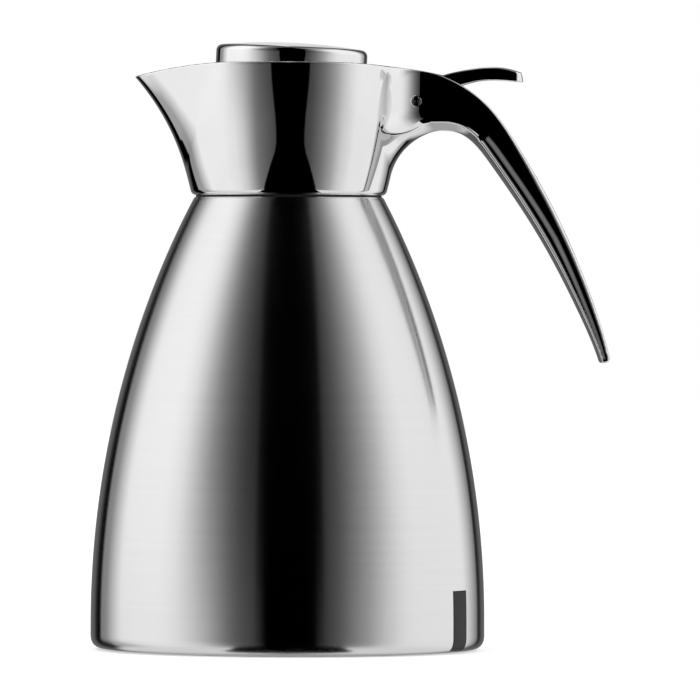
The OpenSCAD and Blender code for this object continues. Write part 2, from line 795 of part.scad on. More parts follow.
// The spring's wire: in along the lower leg, round the pin, out along the upper leg.
coil_pitch = wire_d + coil_gap;
coil_half_l = coil_pitch * (coil_turns + 0.5) / 2;
low_leg_fall = asin(min(0.5, (pocket_down - coil_r - wire_d / 2 - 0.05) / leg_l));
function coil_point(a, y) = [hinge_x + coil_r * cos(a), y, hinge_z + coil_r * sin(a)];
function spring_path() =
    let (
        start = -90 - low_leg_fall,
        sweep = 180 + 360 * coil_turns - low_leg_fall - leg_rise,
        steps = 16 * coil_turns + 8,
        first = coil_point(start, -coil_half_l),
        last = coil_point(start - sweep, coil_half_l)
    )
    concat(
        [for (f = [1, 0.5]) first + f * leg_l * [cos(low_leg_fall), 0, -sin(low_leg_fall)]],
        [for (i = [0:steps])
            coil_point(start - sweep * i / steps, coil_half_l * (2 * i / steps - 1))],
        [for (f = [0.5, 1]) last + f * leg_l * [cos(leg_rise), 0, sin(leg_rise)]]
    );

// A round wire along a path that stays square to the pin.
module wire(path, r) {
    n = 6;
    m = len(path);
    rings = [for (j = [0:m - 1])
        let (
            go = unit(path[min(j + 1, m - 1)] - path[max(j - 1, 0)]),
            side = unit(cross(go, [0, 1, 0])),
            up = cross(go, side)
        )
        for (k = [0:n - 1]) path[j] + r * (cos(60 * k) * side + sin(60 * k) * up)];
    polyhedron(rings, concat(
        [[for (i = [0:n - 1]) i]],
        [for (j = [0:m - 2], i = [0:n - 1])
            each let (a = j * n + i, b = j * n + (i + 1) % n)
            [[a, a + n, b + n], [a, b + n, b]]],
        [[for (i = [n - 1:-1:0]) (m - 1) * n + i]]
    ));
}

module return_spring() {
    color("gray")
    wire(spring_path(), wire_d / 2);
}

// ---- Thumb lever ----

// The thumb rest's crown and tip, and the curves above and below it, from the pin.
crown = [27.5, paddle_up];
tip_top = [paddle_out - 0.9, paddle_up - 2.1];
tip_low = [paddle_out, paddle_up - 5.6];
belly = [26.5, paddle_up - paddle_t];
neck_top = [9.6, 9.5];
arm_end_x = -hinge_out - arm_in;
arm_step_x = arm_end_x + 2.5;
arm_top = hinge_down - arm_top_down;
neck_low = [14.5, paddle_up - 7.9];
// Corners of the arm above and below, and the heel between the barrel and the thumb rest.
arm_low_corner = [-8, 3.4];
arm_back = [-10, arm_top - 0.2];
arm_bend = [-4, arm_top - 1.1];
arm_foot = [5.5, arm_top - 2.1];
heel = [10.5, 1.8];
lever_over = [
    [neck_top, [16, paddle_up - 1.2], [22, paddle_up], crown],
    [crown, [32, paddle_up], [paddle_out - 4, paddle_up - 0.9], tip_top]
];
lever_under = [
    [tip_low, [paddle_out - 4, paddle_up - 4.8], [30, paddle_up - paddle_t], belly],
    [belly, [22, paddle_up - paddle_t - 0.1], [18, paddle_up - 5.9], neck_low]
];
function lever_points(chain) = [for (i = [0:16]) chain_at(chain, i / 8)];

module lever_side() {
    translate([hinge_x, hinge_z])
    polygon(concat(
        [[barrel_r * 0.7, -barrel_r * 0.7], [-barrel_r * 0.8, -barrel_r * 0.5]],
        [[-barrel_r, barrel_r * 0.3], arm_low_corner, [arm_step_x, plate_z - plate_t * 1.5 - hinge_z],
            [arm_end_x, plate_z - hinge_z], [arm_end_x, plate_top - hinge_z]],
        [[arm_step_x, plate_top - hinge_z], [arm_step_x + plate_t, arm_top]],
        [arm_back, arm_bend, arm_foot],
        lever_points(lever_over),
        lever_points(lever_under),
        [heel, [barrel_r * 1.15, -barrel_r * 0.2]]
    ));
}

// Plan of the lever: a parallel strip with rounded corners at its tip.
module lever_plan() {
    half_w = arm_w / 2;
    tip_x = paddle_out + 0.1;
    corner = [[tip_x - tip_corner, half_w], [tip_x, half_w], [tip_x, half_w - tip_corner]];
    edge = concat([[arm_end_x - 1, half_w]], [for (i = [0:8]) bez2(corner, i / 8)]);
    translate([hinge_x, 0])
    polygon(concat(edge, [for (i = [len(edge) - 1:-1:0]) [edge[i][0], -edge[i][1]]]));
}

module thumb_lever() {
    color([0.8, 0.81, 0.83])
    difference() {
        union() {
            intersection() {
                across(arm_w + 2)
                lever_side();
                linear_extrude(2 * rim_z)
                lever_plan();
            }
            cross_rod(barrel_r, barrel_w);
            translate([0, 0, plate_z])
            cylinder(r = plate_r, h = plate_t);
            translate([plate_r / 2, -arm_w / 2, plate_z])
            cube([hinge_x + arm_end_x + 0.6 - plate_r / 2, arm_w, plate_t]);
        }
        cross_rod(bush_r, barrel_w + 2);
        cross_rod(barrel_r + run_clear, spring_bay_w);
        // Groove for the spring's upper leg.
        translate([hinge_x, coil_half_l - wire_d / 2 - run_clear, hinge_z])
        rotate([0, -leg_rise, 0])
        translate([0, 0, -barrel_r - 2])
        cube([leg_l + 1, wire_d + 2 * run_clear, barrel_r + 2 + coil_r + wire_d / 2 + 0.15]);
        translate([0, 0, plate_z - 1])
        cylinder(r = plug_screw_r, h = plate_t + 2);
        lid_screw_places()
        translate([0, 0, plate_z - 1])
        cylinder(r = lid_screw_r, h = plate_t + 2);
    }
}

// ---- Lid ----

module lid_screw_places() {
    for (i = [0:lid_screw_count - 1])
        rotate([0, 0, 180 / lid_screw_count * (2 * i + 1)])
        translate([lid_screw_ring_r, 0, 0])
        children();
}

// Half of the cap's outline, a dome with a rounded edge, shrunk by a wall.
function cap_outline(w) =
    let (
        r = cap_r - w,
        e = max(0.2, cap_edge_r - w / 2),
        top = cap_h - w,
        dome = cap_dome_r - w,
        edge_r = r - e,
        edge_z = top - dome + sqrt(dome^2 - edge_r^2)
    )
    concat(
        [for (i = [0:6])
            let (x = edge_r * i / 6)
            [x, top - dome + sqrt(dome^2 - x^2)]],
        [for (a = [75:-15:0]) [edge_r + e * cos(a), edge_z - e + e * sin(a)]]
    );

// The cap as a full body, shrunk by a wall and reaching down past its edge.
module cap_body(w, down) {
    translate([cap_shift, 0, cap_base_z])
    rotate([0, cap_tilt, 0])
    rotate_extrude()
    polygon(concat(cap_outline(w), [[cap_r - w, -down], [0, -down]]));
}

module lid_cap() {
    color([0.85, 0.86, 0.88])
    difference() {
        union() {
            difference() {
                cap_body(0, 0);
                cap_body(cap_wall, 3);
            }
            intersection() {
                cap_body(cap_wall / 2, 3);
                lid_screw_places()
                translate([0, 0, plate_top])
                cylinder(r = lid_screw_r + boss_wall, h = cap_h);
            }
        }
        lid_screw_places()
        translate([0, 0, plate_top - 1])
        cylinder(r = lid_screw_r, h = lid_screw_grip + 1);
        translate([cap_r - arm_in, -slot_w / 2, plate_z])
        cube([2 * arm_in, slot_w, rim_z - arm_top_down + run_clear - plate_z]);
    }
}

module lid_core() {
    color([0.1, 0.1, 0.11])
    difference() {
        union() {
            difference() {
                translate([0, 0, core_z])
                cylinder(r = core_r, h = core_top_z - core_z);
                translate([0, 0, core_z + core_floor_t])
                cylinder(r = core_r - core_wall, h = core_top_z);
            }
            translate([0, 0, core_z])
            cylinder(r = post_r, h = plate_z - core_z);
        }
        translate([0, 0, core_z - 1])
        cylinder(r = plug_screw_r + screw_clear, h = plate_z - core_z + 2);
        arm_notch();
    }
}

// Room for the lever's arm in the rear of the plug.
module arm_notch() {
    translate([hinge_x + arm_end_x - 2, -slot_w / 2, plate_z - arm_notch_h])
    cube([2 * arm_in, slot_w, cap_h + arm_notch_h]);
}

module lid_insulation() {
    color("ivory")
    difference() {
        translate([0, 0, core_z + core_floor_t])
        cylinder(r = core_r - core_wall - foam_play, h = foam_h);
        translate([0, 0, core_z])
        cylinder(r = post_r + foam_play, h = foam_h + core_floor_t + 1);
    }
}

module lid_seal() {
    color([0.8, 0.8, 0.78])
    translate([0, 0, seal_z])
    difference() {
        cylinder(r = seal_mid_r + lid_seal_w / 2, h = lid_seal_t);
        translate([0, 0, -1])
        cylinder(r = seal_mid_r - lid_seal_w / 2, h = lid_seal_t + 2);
    }
}

module seal_retainer() {
    color([0.12, 0.12, 0.13])
    difference() {
        translate([0, 0, seal_z])
        cylinder(r = retainer_r, h = lid_seal_t);
        translate([0, 0, seal_z - 1])
        cylinder(r = plug_screw_r + screw_clear, h = lid_seal_t + 2);
    }
}

module lid_screws() {
    color("dimgray")
    lid_screw_places() {
        translate([0, 0, plate_z - lid_screw_head_h])
        cylinder(r = lid_screw_head_r, h = lid_screw_head_h);
        translate([0, 0, plate_z - 0.1])
        cylinder(r = lid_screw_r, h = plate_t + lid_screw_grip);
    }
}

module plug_screw() {
    color("dimgray")
    difference() {
        union() {
            translate([0, 0, seal_z - plug_screw_head_h])
            cylinder(r = plug_screw_head_r, h = plug_screw_head_h);
            translate([0, 0, seal_z - 0.1])
            cylinder(r = plug_screw_r, h = plate_top - seal_z + 0.1);
        }
        translate([-plug_screw_head_r, -0.5, seal_z - plug_screw_head_h - 1])
        cube([2 * plug_screw_head_r, 1, 1.6]);
    }
}

outer_shell();
inner_flask();
base_plate();
seal_off_cap();
getter();
base_pad();
neck_thread_ring();
head_gasket();
head_casting();
clamp_nut();
mouth_gasket();
pour_deck();
hinge_pin();
return_spring();
hinge_bushes();
thumb_lever();
lid_cap();
lid_core();
lid_insulation();
lid_seal();
seal_retainer();
lid_screws();
plug_screw();
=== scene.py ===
"""Thermal carafe with a hinged flip lid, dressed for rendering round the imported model.

Lengths in the shape functions are millimetres, and MM turns them into metres. The spout points
along -X, the handle along +X, and the carafe stands on Z = 0.
"""
import json
import math

import bpy
import numpy as np
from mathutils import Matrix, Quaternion, Vector


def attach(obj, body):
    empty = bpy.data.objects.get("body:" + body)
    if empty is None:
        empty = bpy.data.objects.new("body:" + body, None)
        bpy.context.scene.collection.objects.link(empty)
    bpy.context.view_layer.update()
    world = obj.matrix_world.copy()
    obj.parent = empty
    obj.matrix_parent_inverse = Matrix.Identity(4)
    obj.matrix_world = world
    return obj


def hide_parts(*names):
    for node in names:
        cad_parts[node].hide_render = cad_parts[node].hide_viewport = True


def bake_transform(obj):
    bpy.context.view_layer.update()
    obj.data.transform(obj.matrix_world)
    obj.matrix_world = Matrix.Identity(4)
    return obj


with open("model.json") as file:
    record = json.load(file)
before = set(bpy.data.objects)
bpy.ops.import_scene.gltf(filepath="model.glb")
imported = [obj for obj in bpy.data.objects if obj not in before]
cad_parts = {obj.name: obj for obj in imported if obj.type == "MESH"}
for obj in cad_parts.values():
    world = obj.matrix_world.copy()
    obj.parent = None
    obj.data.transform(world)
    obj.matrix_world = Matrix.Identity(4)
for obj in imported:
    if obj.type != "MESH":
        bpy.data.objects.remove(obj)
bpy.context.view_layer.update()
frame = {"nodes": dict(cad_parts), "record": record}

MM = 0.001

# ---------------------------------------------------------------- sizes, in millimetres

# Head: its round part, the spout's tip, the rim's line and the roundings of its edges.
HEAD_Z, RIM_Z = 164.5, 213.1
HEAD_R, HEAD_FLARE, FLARE_POWER, HEAD_WALL = 35.1, 5.2, 2.6, 2.4
SPOUT_REACH, SPOUT_POWER, SPOUT_START, SPOUT_RUN = 15.5, 2.18, 168.0, 39.3
SPOUT_ROOT_R, SPOUT_TIP_R = 28.0, 8.5
RIM_LOWER, FRONT_DROP, FRONT_POWER, REAR_DROP = 0.7, 4.66, 1.83, 2.6
FRONT_X, FRONT_RUN, REAR_X, REAR_RUN = 20.0, 35.1, 12.0, 35.8
FILLET_R, FILLET_LESS, FILLET_Z, FILLET_RUN = 16.2, 6.2, 186.5, 9.0
HEAD_FOOT_ROUND, RIM_ROUND, BASIN_ROUND, FLANGE_ROUND, BORE_ROUND = 1.7, 0.6, 0.5, 0.3, 0.25
FLANGE_TOP, FLANGE_HOLE_R = 168.0, 31.5

# Hinge: pin, the slot for the lever as (from x, to x, floor), and the spring. WIND_HALF sets two
# points on both sides of the middle that are handed to the spring's piece, which doesn't use them.
HINGE_X, HINGE_Z = 46.0, 198.8
PIN_R, RECESS_R, PIN_L, PIN_NEAR, PIN_END_Y = 1.5, 1.75, 19.2, 2.3, (9.0, 10.2)
SLOT_HALF, STEM_HALF = 7.0, 6.7
NOTCH, POCKET = (30.1, 60.0, 200.5), (40.3, 60.0, 193.0)
CHANNEL_X, CHANNEL_Z = (59.0, 75.6), (196.0, 194.6)
COIL_R, WIRE, COIL_PITCH, COIL_TURNS, WIND_HALF = 3.1, 0.9, 1.35, 3.5, 1.9
LEG_L, LEG_Y, LOW_LEG_DROP, HIGH_LEG_SLOPE = 10.4, 2.36, 5.8, math.radians(8)

# Lever: thumb rest and nose, with its facet's direction in plan, barrel, room for the spring, and
# the round plate inside the lid with its holes.
CROWN_X, CROWN_RUN, CROWN_R = 58, 8, 90
ARM_ROUND, BARREL_ROUND, NOSE_EDGE = 0.8, 0.3, 0.2
NOSE_X, NOSE_ROUND, NOSE_FACET_X, NOSE_FACET = 85.15, 1.7, 82.4, (0.766, 0.643)
BARREL_R, BUSH_HOLE_R, COIL_ROOM_R, COIL_ROOM_HALF = 4.2, 2.4, 4.5, 2.8
LEG_ROOM_MID, LEG_ROOM_HALF, LEG_ROOM_TOP = 5.7, 0.75, 3.7
PLATE_R, PLATE_Z, PLATE_HALF, STRAP_X, STRAP_HALF = 16.0, 209.5, 1.0, 17, 8.2
SCREW_RING_R, SCREW_HOLE_R, PLUG_HOLE_R = 10.5, 1.25, 2.05

# Handle, in mm along its middle line: where it tapers, steps down and gets its bevel.
TAPER_S, KNEE_S, KNEE_RUN, BEVEL_S, BEVEL_RUN = 36.0, 48.5, 2.0, 40.0, 36.0
GRIP_HALF, GRIP_TAPER, TAPER_POWER = 9.8, 3.4, 1.7
STEP_DEPTH, STEP_SOFT, FACET_DEPTH, FACET_SLOPE = 0.65, 0.21, 5.6, math.radians(20)
BEVEL_DEPTH, BEVEL_LEAN, SIDE_ROUND, KEEL_ROUND = 1.15, math.radians(40), 0.5, 1.8
ROOT_ROUND, TIP_PAST, TIP_ROUND = 1.0, 2.5, 1.4

# Body, flask, deck, cap and rings.
SHOULDER_Z, SHOULDER_R, BODY_R = 164.0, 34.2, 71.4
FOOT_Z, FOOT_R, FOOT_TURN, FOOT_LIP_R = 0.4, 66.4, 5.6, 63.0
SHELL_WALL, NECK_R, NECK_TOP, SHOULDER_ROLL = 0.8, 29.5, 184.0, 0.25
FLASK_INSET, FLASK_WALL, FLASK_FLOOR, FLASK_TURN, FLASK_NECK = 7.3, 0.6, 13.0, 12.0, 7.0
MOUTH_R, MOUTH_Z = 24.5, 184.6
DECK_Z, DECK_LIP_Z, DECK_FLOOR_Z, DECK_RISE, DECK_PLAY = 186.1, 197.5, 192.0, 4.0, 0.3
DECK_HOLE_R, DECK_COLLAR_R, DECK_UNDER = 23.5, 26.5, 1.6
CAP_R, CAP_H, CAP_EDGE, CAP_DOME_R, CAP_WALL = 27.4, 9.05, 2.3, 200.0, 1.2
CAP_X, CAP_Z, CAP_TILT = 0.7, 210.9, 2.5
GASKET_R, SEAL_R, SEAL_Z = 33.7, (22.75, 27.25), (197.7, 199.5)
# Painted dark reflection: a near-black film laid on the body's side, given as heights, turn in
# degrees and lift off the body.
REFLECTION_STRIP_Z, REFLECTION_STRIP_TURN, REFLECTION_STRIP_LIFT = (1.2, 22.8), (56.9, 64.6), (0.01, 0.07)


# ---------------------------------------------------------------- meshes

FACE_AREA_WEIGHT = 60


def add_piece(name, points, faces, body, slot, nodes=(), normals=None, finish=None):
    """Mesh object from points in mm (n x 3) and a list of face arrays, each m x corners. Body is a
    body's name, to which the piece is attached. Given anything else, such as two names and two
    points, the piece isn't attached to any body and its place is baked into its mesh. The finish is
    its slot's, unless it has one of its own."""
    mesh = bpy.data.meshes.new(name)
    corners = np.concatenate([f.ravel() for f in faces]).astype(np.int32)
    totals = np.concatenate([np.full(len(f), f.shape[1], np.int32) for f in faces])
    starts = np.concatenate([[0], np.cumsum(totals)[:-1]]).astype(np.int32)
    mesh.vertices.add(len(points))
    mesh.vertices.foreach_set("co", (np.asarray(points, float) * MM).astype(np.float32).ravel())
    mesh.loops.add(len(corners))
    mesh.loops.foreach_set("vertex_index", corners)
    mesh.polygons.add(len(totals))
    mesh.polygons.foreach_set("loop_start", starts)
    mesh.polygons.foreach_set("loop_total", totals)
    mesh.update(calc_edges=True)
    mesh.validate()
    mesh.shade_smooth()
    if normals is not None:
        mesh.normals_split_custom_set_from_vertices(normals.astype(np.float32).tolist())
    mesh.materials.append(FINISH[finish or slot])
    piece = bpy.data.objects.new(name, mesh)
    bpy.context.collection.objects.link(piece)
    if normals is None:
        even = piece.modifiers.new("even_shading", "WEIGHTED_NORMAL")
        even.weight = FACE_AREA_WEIGHT
        even.keep_sharp = True
    if isinstance(body, str):
        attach(piece, body)
    else:
        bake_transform(piece)
    if nodes:
        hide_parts(*nodes)


def outward(points, faces):
    """The same faces, all turned over if the volume that they enclose comes out negative."""
    volume = 0.0
    for f in faces:
        for k in range(1, f.shape[1] - 1):
            a, b, c = points[f[:, 0]], points[f[:, k]], points[f[:, k + 1]]
            volume += np.einsum("ij,ij->i", a, np.cross(b, c)).sum()
    return faces if volume > 0 else [f[:, ::-1] for f in faces]


def grid_faces(rows, cols, close_rows, close_cols):
    """Quads of a grid of rows x cols points, joined round either way where it closes."""
    i = np.arange(rows if close_rows else rows - 1)[:, None]
    j = np.arange(cols if close_cols else cols - 1)[None, :]
    i2, j2 = (i + 1) % rows, (j + 1) % cols
    corners = i * cols + j, i2 * cols + j, i2 * cols + j2, i * cols + j2
    return np.stack(np.broadcast_arrays(*corners), -1).reshape(-1, 4)


def ring_body(grid):
    """Closed ring: grid[k, c] runs round a closed outline with k and round the axis with c."""
    rows, cols = grid.shape[:2]
    points = grid.reshape(-1, 3)
    return points, outward(points, [grid_faces(rows, cols, True, True)])


def capped_body(grid):
    """Closed skin: grid[k, c] is a stack of rings, closed at each end by a point in its middle."""
    rows, cols = grid.shape[:2]
    points = np.vstack([grid.reshape(-1, 3), grid[0].mean(0), grid[-1].mean(0)])
    j = np.arange(cols)
    j2 = (j + 1) % cols
    low = np.stack([np.full(cols, rows * cols), j, j2], -1)
    base = (rows - 1) * cols
    high = np.stack([np.full(cols, rows * cols + 1), base + j2, base + j], -1)
    sides = grid_faces(rows, cols, False, True)[:, ::-1]
    return points, outward(points, [sides, low, high])


def softened(outline, radii, steps=4, closed=True):
    """Outline whose corners are rounded: each corner becomes a curve between two points, as far
    from the corner as its radius, on the straight lines to its neighbours (a quadratic curve)."""
    p = np.asarray(outline, float)
    n = len(p)
    radii = np.broadcast_to(radii, n)
    t = np.linspace(0, 1, steps + 1)[:, None]
    out = []
    for i in range(n):
        if radii[i] == 0 or (not closed and i in (0, n - 1)):
            out.append(p[i:i + 1])
            continue
        back, ahead = p[i - 1] - p[i], p[(i + 1) % n] - p[i]
        lb, la = np.linalg.norm(back), np.linalg.norm(ahead)
        cut = min(radii[i], 0.45 * lb, 0.45 * la)
        a, b = p[i] + back / lb * cut, p[i] + ahead / la * cut
        out.append((1 - t) ** 2 * a + 2 * t * (1 - t) * p[i] + t ** 2 * b)
    return np.vstack(out)


def turned(outline, cols=160, centre=(0.0, 0.0), tilt=0.0, pivot=0.0):
    """Rings round the Z axis from an outline of (radius, height) points, tilted about Y by tilt
    degrees at height pivot, then moved to centre in X and Y."""
    outline = np.asarray(outline, float)
    a = np.linspace(0, 2 * np.pi, cols, endpoint=False)
    x = outline[:, :1] * np.cos(a)
    y = outline[:, :1] * np.sin(a)
    z = np.repeat(outline[:, 1:] - pivot, cols, 1)
    c, s = math.cos(math.radians(tilt)), math.sin(math.radians(tilt))
    return np.stack([x * c + z * s + centre[0], y + centre[1], z * c - x * s + pivot], -1)


def turned_y(outline, cols=48, at=(0.0, 0.0)):
    """Rings round a cross axis through x, z = at, from (radius, y) points."""
    outline = np.asarray(outline, float)
    a = np.linspace(0, 2 * np.pi, cols, endpoint=False)
    x = at[0] + outline[:, :1] * np.cos(a)
    z = at[1] + outline[:, :1] * np.sin(a)
    return np.stack([x, np.repeat(outline[:, 1:], cols, 1), z], -1)


# ---------------------------------------------------------------- solids as signed fields

# For the last steps onto a surface: how far apart in mm the slope is read, the least slope squared
# that counts, and the longest move in grid steps.
SLOPE_REACH, LEAST_SLOPE, LONGEST_MOVE = 0.02, 0.05, 0.3


def join_round(a, b, radius):
    """Union of two fields, with a fillet of that radius where they meet."""
    fillet = np.hypot(np.maximum(radius - a, 0), np.maximum(radius - b, 0))
    return np.maximum(radius, np.minimum(a, b)) - fillet


def cut_round(a, b, radius):
    """Common part of two fields, with the edge between them rounded to a circle of that radius."""
    round_part = np.hypot(np.maximum(a + radius, 0), np.maximum(b + radius, 0))
    return np.minimum(-radius, np.maximum(a, b)) + round_part


def join_soft(a, b, width):
    """Union of two fields that meet at a shallow angle, blended by a parabola where they differ
    by less than width."""
    near = np.maximum(width - np.abs(a - b), 0) / width
    return np.minimum(a, b) - near ** 2 * width / 4


def cut_soft(a, b, width):
    """Common part of two fields that meet at a shallow angle, blended in the same way."""
    return -join_soft(-a, -b, width)


def outline_field(points, x, z):
    """Signed distance in the XZ plane to a closed outline of straight pieces, negative inside."""
    shape = np.broadcast_shapes(x.shape, z.shape)
    x, z = np.broadcast_to(x, shape), np.broadcast_to(z, shape)
    best = np.full(shape, 1e9)
    inside = np.zeros(shape, bool)
    for (ax, az), (bx, bz) in zip(points, np.roll(points, -1, 0)):
        ex, ez = bx - ax, bz - az
        t = np.clip(((x - ax) * ex + (z - az) * ez) / (ex * ex + ez * ez + 1e-12), 0, 1)
        best = np.minimum(best, (x - ax - t * ex) ** 2 + (z - az - t * ez) ** 2)
        crosses = (az > z) != (bz > z)
        inside ^= crosses & (x < ax + (z - az) / (ez if ez else 1e-12) * ex)
    return np.where(inside, -1, 1) * np.sqrt(best)


def axis_places(low, high, step, close=()):
    """Even places from low to high, and closer ones inside each close stretch (from, to, step)."""
    places = np.arange(low, high + step, step)
    for a, b, fine in close:
        places = places[(places < a - fine) | (places > b + fine)]
        places = np.sort(np.concatenate([places, np.arange(a, b, fine)]))
    return places


def field_mesh(field, low, high, step, lift=None, mirrored=False, close=((), (), ())):
    """Closed mesh of field = 0, sampled on a grid of boxes of that step. A mirrored field is only
    worked out for one half of the width, and low and high lie even on both sides of it.
    Each cube that the surface crosses gets one point, the mean of the crossings on its edges, then
    two Newton steps along the field's slope put it on the surface, and the slope is its normal.
    lift(x) shears the grid, so that a sloping rim lies along its layers."""
    axes = [axis_places(a, b, step, near) for a, b, near in zip(low, high, close)]
    if mirrored:
        axes[1] = axis_places(0.0, high[1], step, close[1])
    x, y, w = axes[0][:, None, None], axes[1][None, :, None], axes[2][None, None, :]
    z = w + (lift(x) if lift else 0)
    value = np.broadcast_to(field(x, y, z), [len(a) for a in axes]).astype(np.float32)
    if mirrored:
        value = np.concatenate([value[:, :0:-1], value], 1)
        axes[1] = np.concatenate([-axes[1][:0:-1], axes[1]])
    sign = value < 0
    cells = [n - 1 for n in value.shape]
    corner = [(i, j, k) for i in (0, 1) for j in (0, 1) for k in (0, 1)]

    def part(array, c):
        return array[c[0]:c[0] + cells[0], c[1]:c[1] + cells[1], c[2]:c[2] + cells[2]]

    count = sum(part(sign, c).astype(np.int8) for c in corner)
    where = np.nonzero((count > 0) & (count < 8))
    number = np.full(cells, -1, np.int64)
    number[where] = np.arange(len(where[0]))
    corner_value = np.stack([part(value, c)[where] for c in corner], 1).astype(float)
    total, crossings = np.zeros((len(where[0]), 3)), np.zeros(len(where[0]))
    for m, a in enumerate(corner):
        for n, b in enumerate(corner):
            if sum(b) - sum(a) != 1 or sum(abs(p - q) for p, q in zip(a, b)) != 1:
                continue
            va, vb = corner_value[:, m], corner_value[:, n]
            hit = (va < 0) != (vb < 0)
            t = np.where(hit, va / np.where(hit, va - vb, 1), 0)
            spot = np.array(a)[None] + t[:, None] * (np.array(b) - np.array(a))[None]
            total += hit[:, None] * spot
            crossings += hit
    place = np.stack(where, 1) + total / crossings[:, None]
    points = np.stack([np.interp(place[:, d], np.arange(len(axes[d])), axes[d])
                       for d in range(3)], 1)
    if lift:
        points[:, 2] += lift(points[:, 0])

    quads = []
    for d in range(3):
        u, v = (d + 1) % 3, (d + 2) % 3
        lo = [slice(None)] * 3
        hi = [slice(None)] * 3
        lo[d], hi[d] = slice(0, -1), slice(1, None)
        change = sign[tuple(lo)] != sign[tuple(hi)]
        index = np.stack(np.nonzero(change), 1)
        ok = (index[:, u] > 0) & (index[:, v] > 0)
        ok &= (index[:, u] < cells[u]) & (index[:, v] < cells[v])
        index = index[ok]
        leaving = sign[tuple(index.T)]
        ring = []
        for du, dv in ((0, 0), (-1, 0), (-1, -1), (0, -1)):
            cell = index.copy()
            cell[:, u] += du
            cell[:, v] += dv
            ring.append(number[tuple(cell.T)])
        quad = np.stack(ring, 1)
        quads.append(np.where(leaving[:, None], quad, quad[:, ::-1]))
    faces = [np.vstack(quads)]

    def slope(p):
        parts = []
        for d in range(3):
            up, down = p.copy(), p.copy()
            up[:, d] += SLOPE_REACH
            down[:, d] -= SLOPE_REACH
            parts.append((field(*up.T) - field(*down.T)) / (2 * SLOPE_REACH))
        return np.stack(parts, 1)

    for _ in range(2):
        g = slope(points)
        move = field(*points.T) / np.maximum((g ** 2).sum(1), LEAST_SLOPE)
        points -= g * np.clip(move, -LONGEST_MOVE * step, LONGEST_MOVE * step)[:, None]
    g = slope(points)
    normals = g / np.maximum(np.linalg.norm(g, axis=1), 1e-9)[:, None]
    return points, outward(points, faces), normals


# ---------------------------------------------------------------- head and handle

def head_radius(z):
    """Radius of the round part: it flares by HEAD_FLARE, quickly at first, as 1 - (1 - u)^power."""
    u = np.clip((z - HEAD_Z) / (RIM_Z - HEAD_Z), 0, 1)
    return HEAD_R + HEAD_FLARE * (1 - (1 - u) ** FLARE_POWER)


def head_plan(x, y, z):
    """Distance in plan to the outline round a large circle on the axis and a small one at the
    spout's tip. The tip runs out from the large circle as a power of the height."""
    r = head_radius(z)
    v = np.maximum(0, (z - SPOUT_START) / SPOUT_RUN)
    tip = r + SPOUT_REACH * v ** SPOUT_POWER
    up = np.clip((z - HEAD_Z) / (RIM_Z - HEAD_Z), 0, 1)
    rho = SPOUT_ROOT_R + (SPOUT_TIP_R - SPOUT_ROOT_R) * up
    d = tip - rho
    b = np.clip((r - rho) / d, -1, 1)
    a = np.sqrt(1 - b * b)
    px, py = np.abs(y), -x
    k = -b * px + a * py
    around = np.hypot(px, py) - r
    at_tip = np.hypot(px, py - d) - rho
    flank = a * px + b * py - r
    return np.where(k <= 0, around, np.where(k > a * d, at_tip, flank))


def rim_drop(x):
    """How far the rim lies below RIM_Z: everywhere by RIM_LOWER, more towards the spout by a power
    of the way there, and more towards the handle by a parabola."""
    front = np.maximum(0, (-x - FRONT_X) / FRONT_RUN)
    rear = np.clip((x - REAR_X) / REAR_RUN, 0, 1.5)
    return RIM_LOWER + FRONT_DROP * front ** FRONT_POWER + REAR_DROP * rear ** 2


# The handle's middle line: control points of a cubic B-spline, (x, z, half thickness).
SPINE = np.array([
    (25.68, 201, 11.14), (32.73, 200.73, 10.35), (45.26, 199.5, 13), (66.62, 196.09, 6.39),
    (78.51, 178.64, 5.91), (89.32, 162.1, 5.16), (99.05, 144.14, 4.19), (107.22, 125.84, 3.29),
    (112.18, 113.22, 2.44), (114.06, 106.81, 2.11),
])
SPINE_SAMPLES, SPINE_CHUNK, BEND_WINDOW = 420, 20000, 25


def spline(control, t):
    """Clamped uniform cubic B-spline, by de Boor's rule on whole arrays."""
    n = len(control)
    knots = np.concatenate([[0] * 3, np.linspace(0, 1, n - 2), [1] * 3])
    j = np.clip(np.searchsorted(knots, t, side="right") - 1, 3, n - 1)
    d = [control[j - 3 + q] for q in range(4)]
    for r in (1, 2, 3):
        for q in (3, 2, 1)[:4 - r]:
            span = knots[q + 1 + j - r] - knots[q + j - 3]
            al = ((t - knots[q + j - 3]) / span)[:, None]
            d[q] = (1 - al) * d[q - 1] + al * d[q]
    return d[3]


def spine_table():
    """Samples of the middle line: place, direction, outward side, bend and half thickness."""
    p = spline(SPINE, np.linspace(0, 1, SPINE_SAMPLES) * (1 - 1e-9))
    length = np.concatenate([[0], np.cumsum(np.hypot(*np.diff(p[:, :2], axis=0).T))])
    even = np.linspace(0, length[-1], SPINE_SAMPLES)
    p = np.stack([np.interp(even, length, p[:, k]) for k in range(3)], 1)
    go = np.gradient(p[:, :2], even, axis=0)
    go /= np.linalg.norm(go, axis=1)[:, None]
    angle = np.unwrap(np.arctan2(go[:, 1], go[:, 0]))
    window = np.hanning(BEND_WINDOW) / np.hanning(BEND_WINDOW).sum()
    bend = np.pad(np.gradient(angle, even), BEND_WINDOW // 2, "edge")
    return {"s": even, "p": p[:, :2], "go": go, "out": np.stack([-go[:, 1], go[:, 0]], 1),
            "bend": np.convolve(bend, window, "valid"), "half": p[:, 2]}


SP = spine_table()
HANDLE_END = SP["s"][-1]

# What changes along the handle: places on its middle line, and the values there.
SECTION_SIZE = [0, 95, HANDLE_END], [1.0, 1.0, 0.45]
KEEL_SLOPE = [0, 34, 56, HANDLE_END], [0.41, 0.41, 0.222, 0.222]
BACK_ROUND = [0, 60, HANDLE_END], [0.5, 0.6, 0.5]
INNER_ROUND = [0, 95, HANDLE_END], [1.5, 1.5, 0.7]


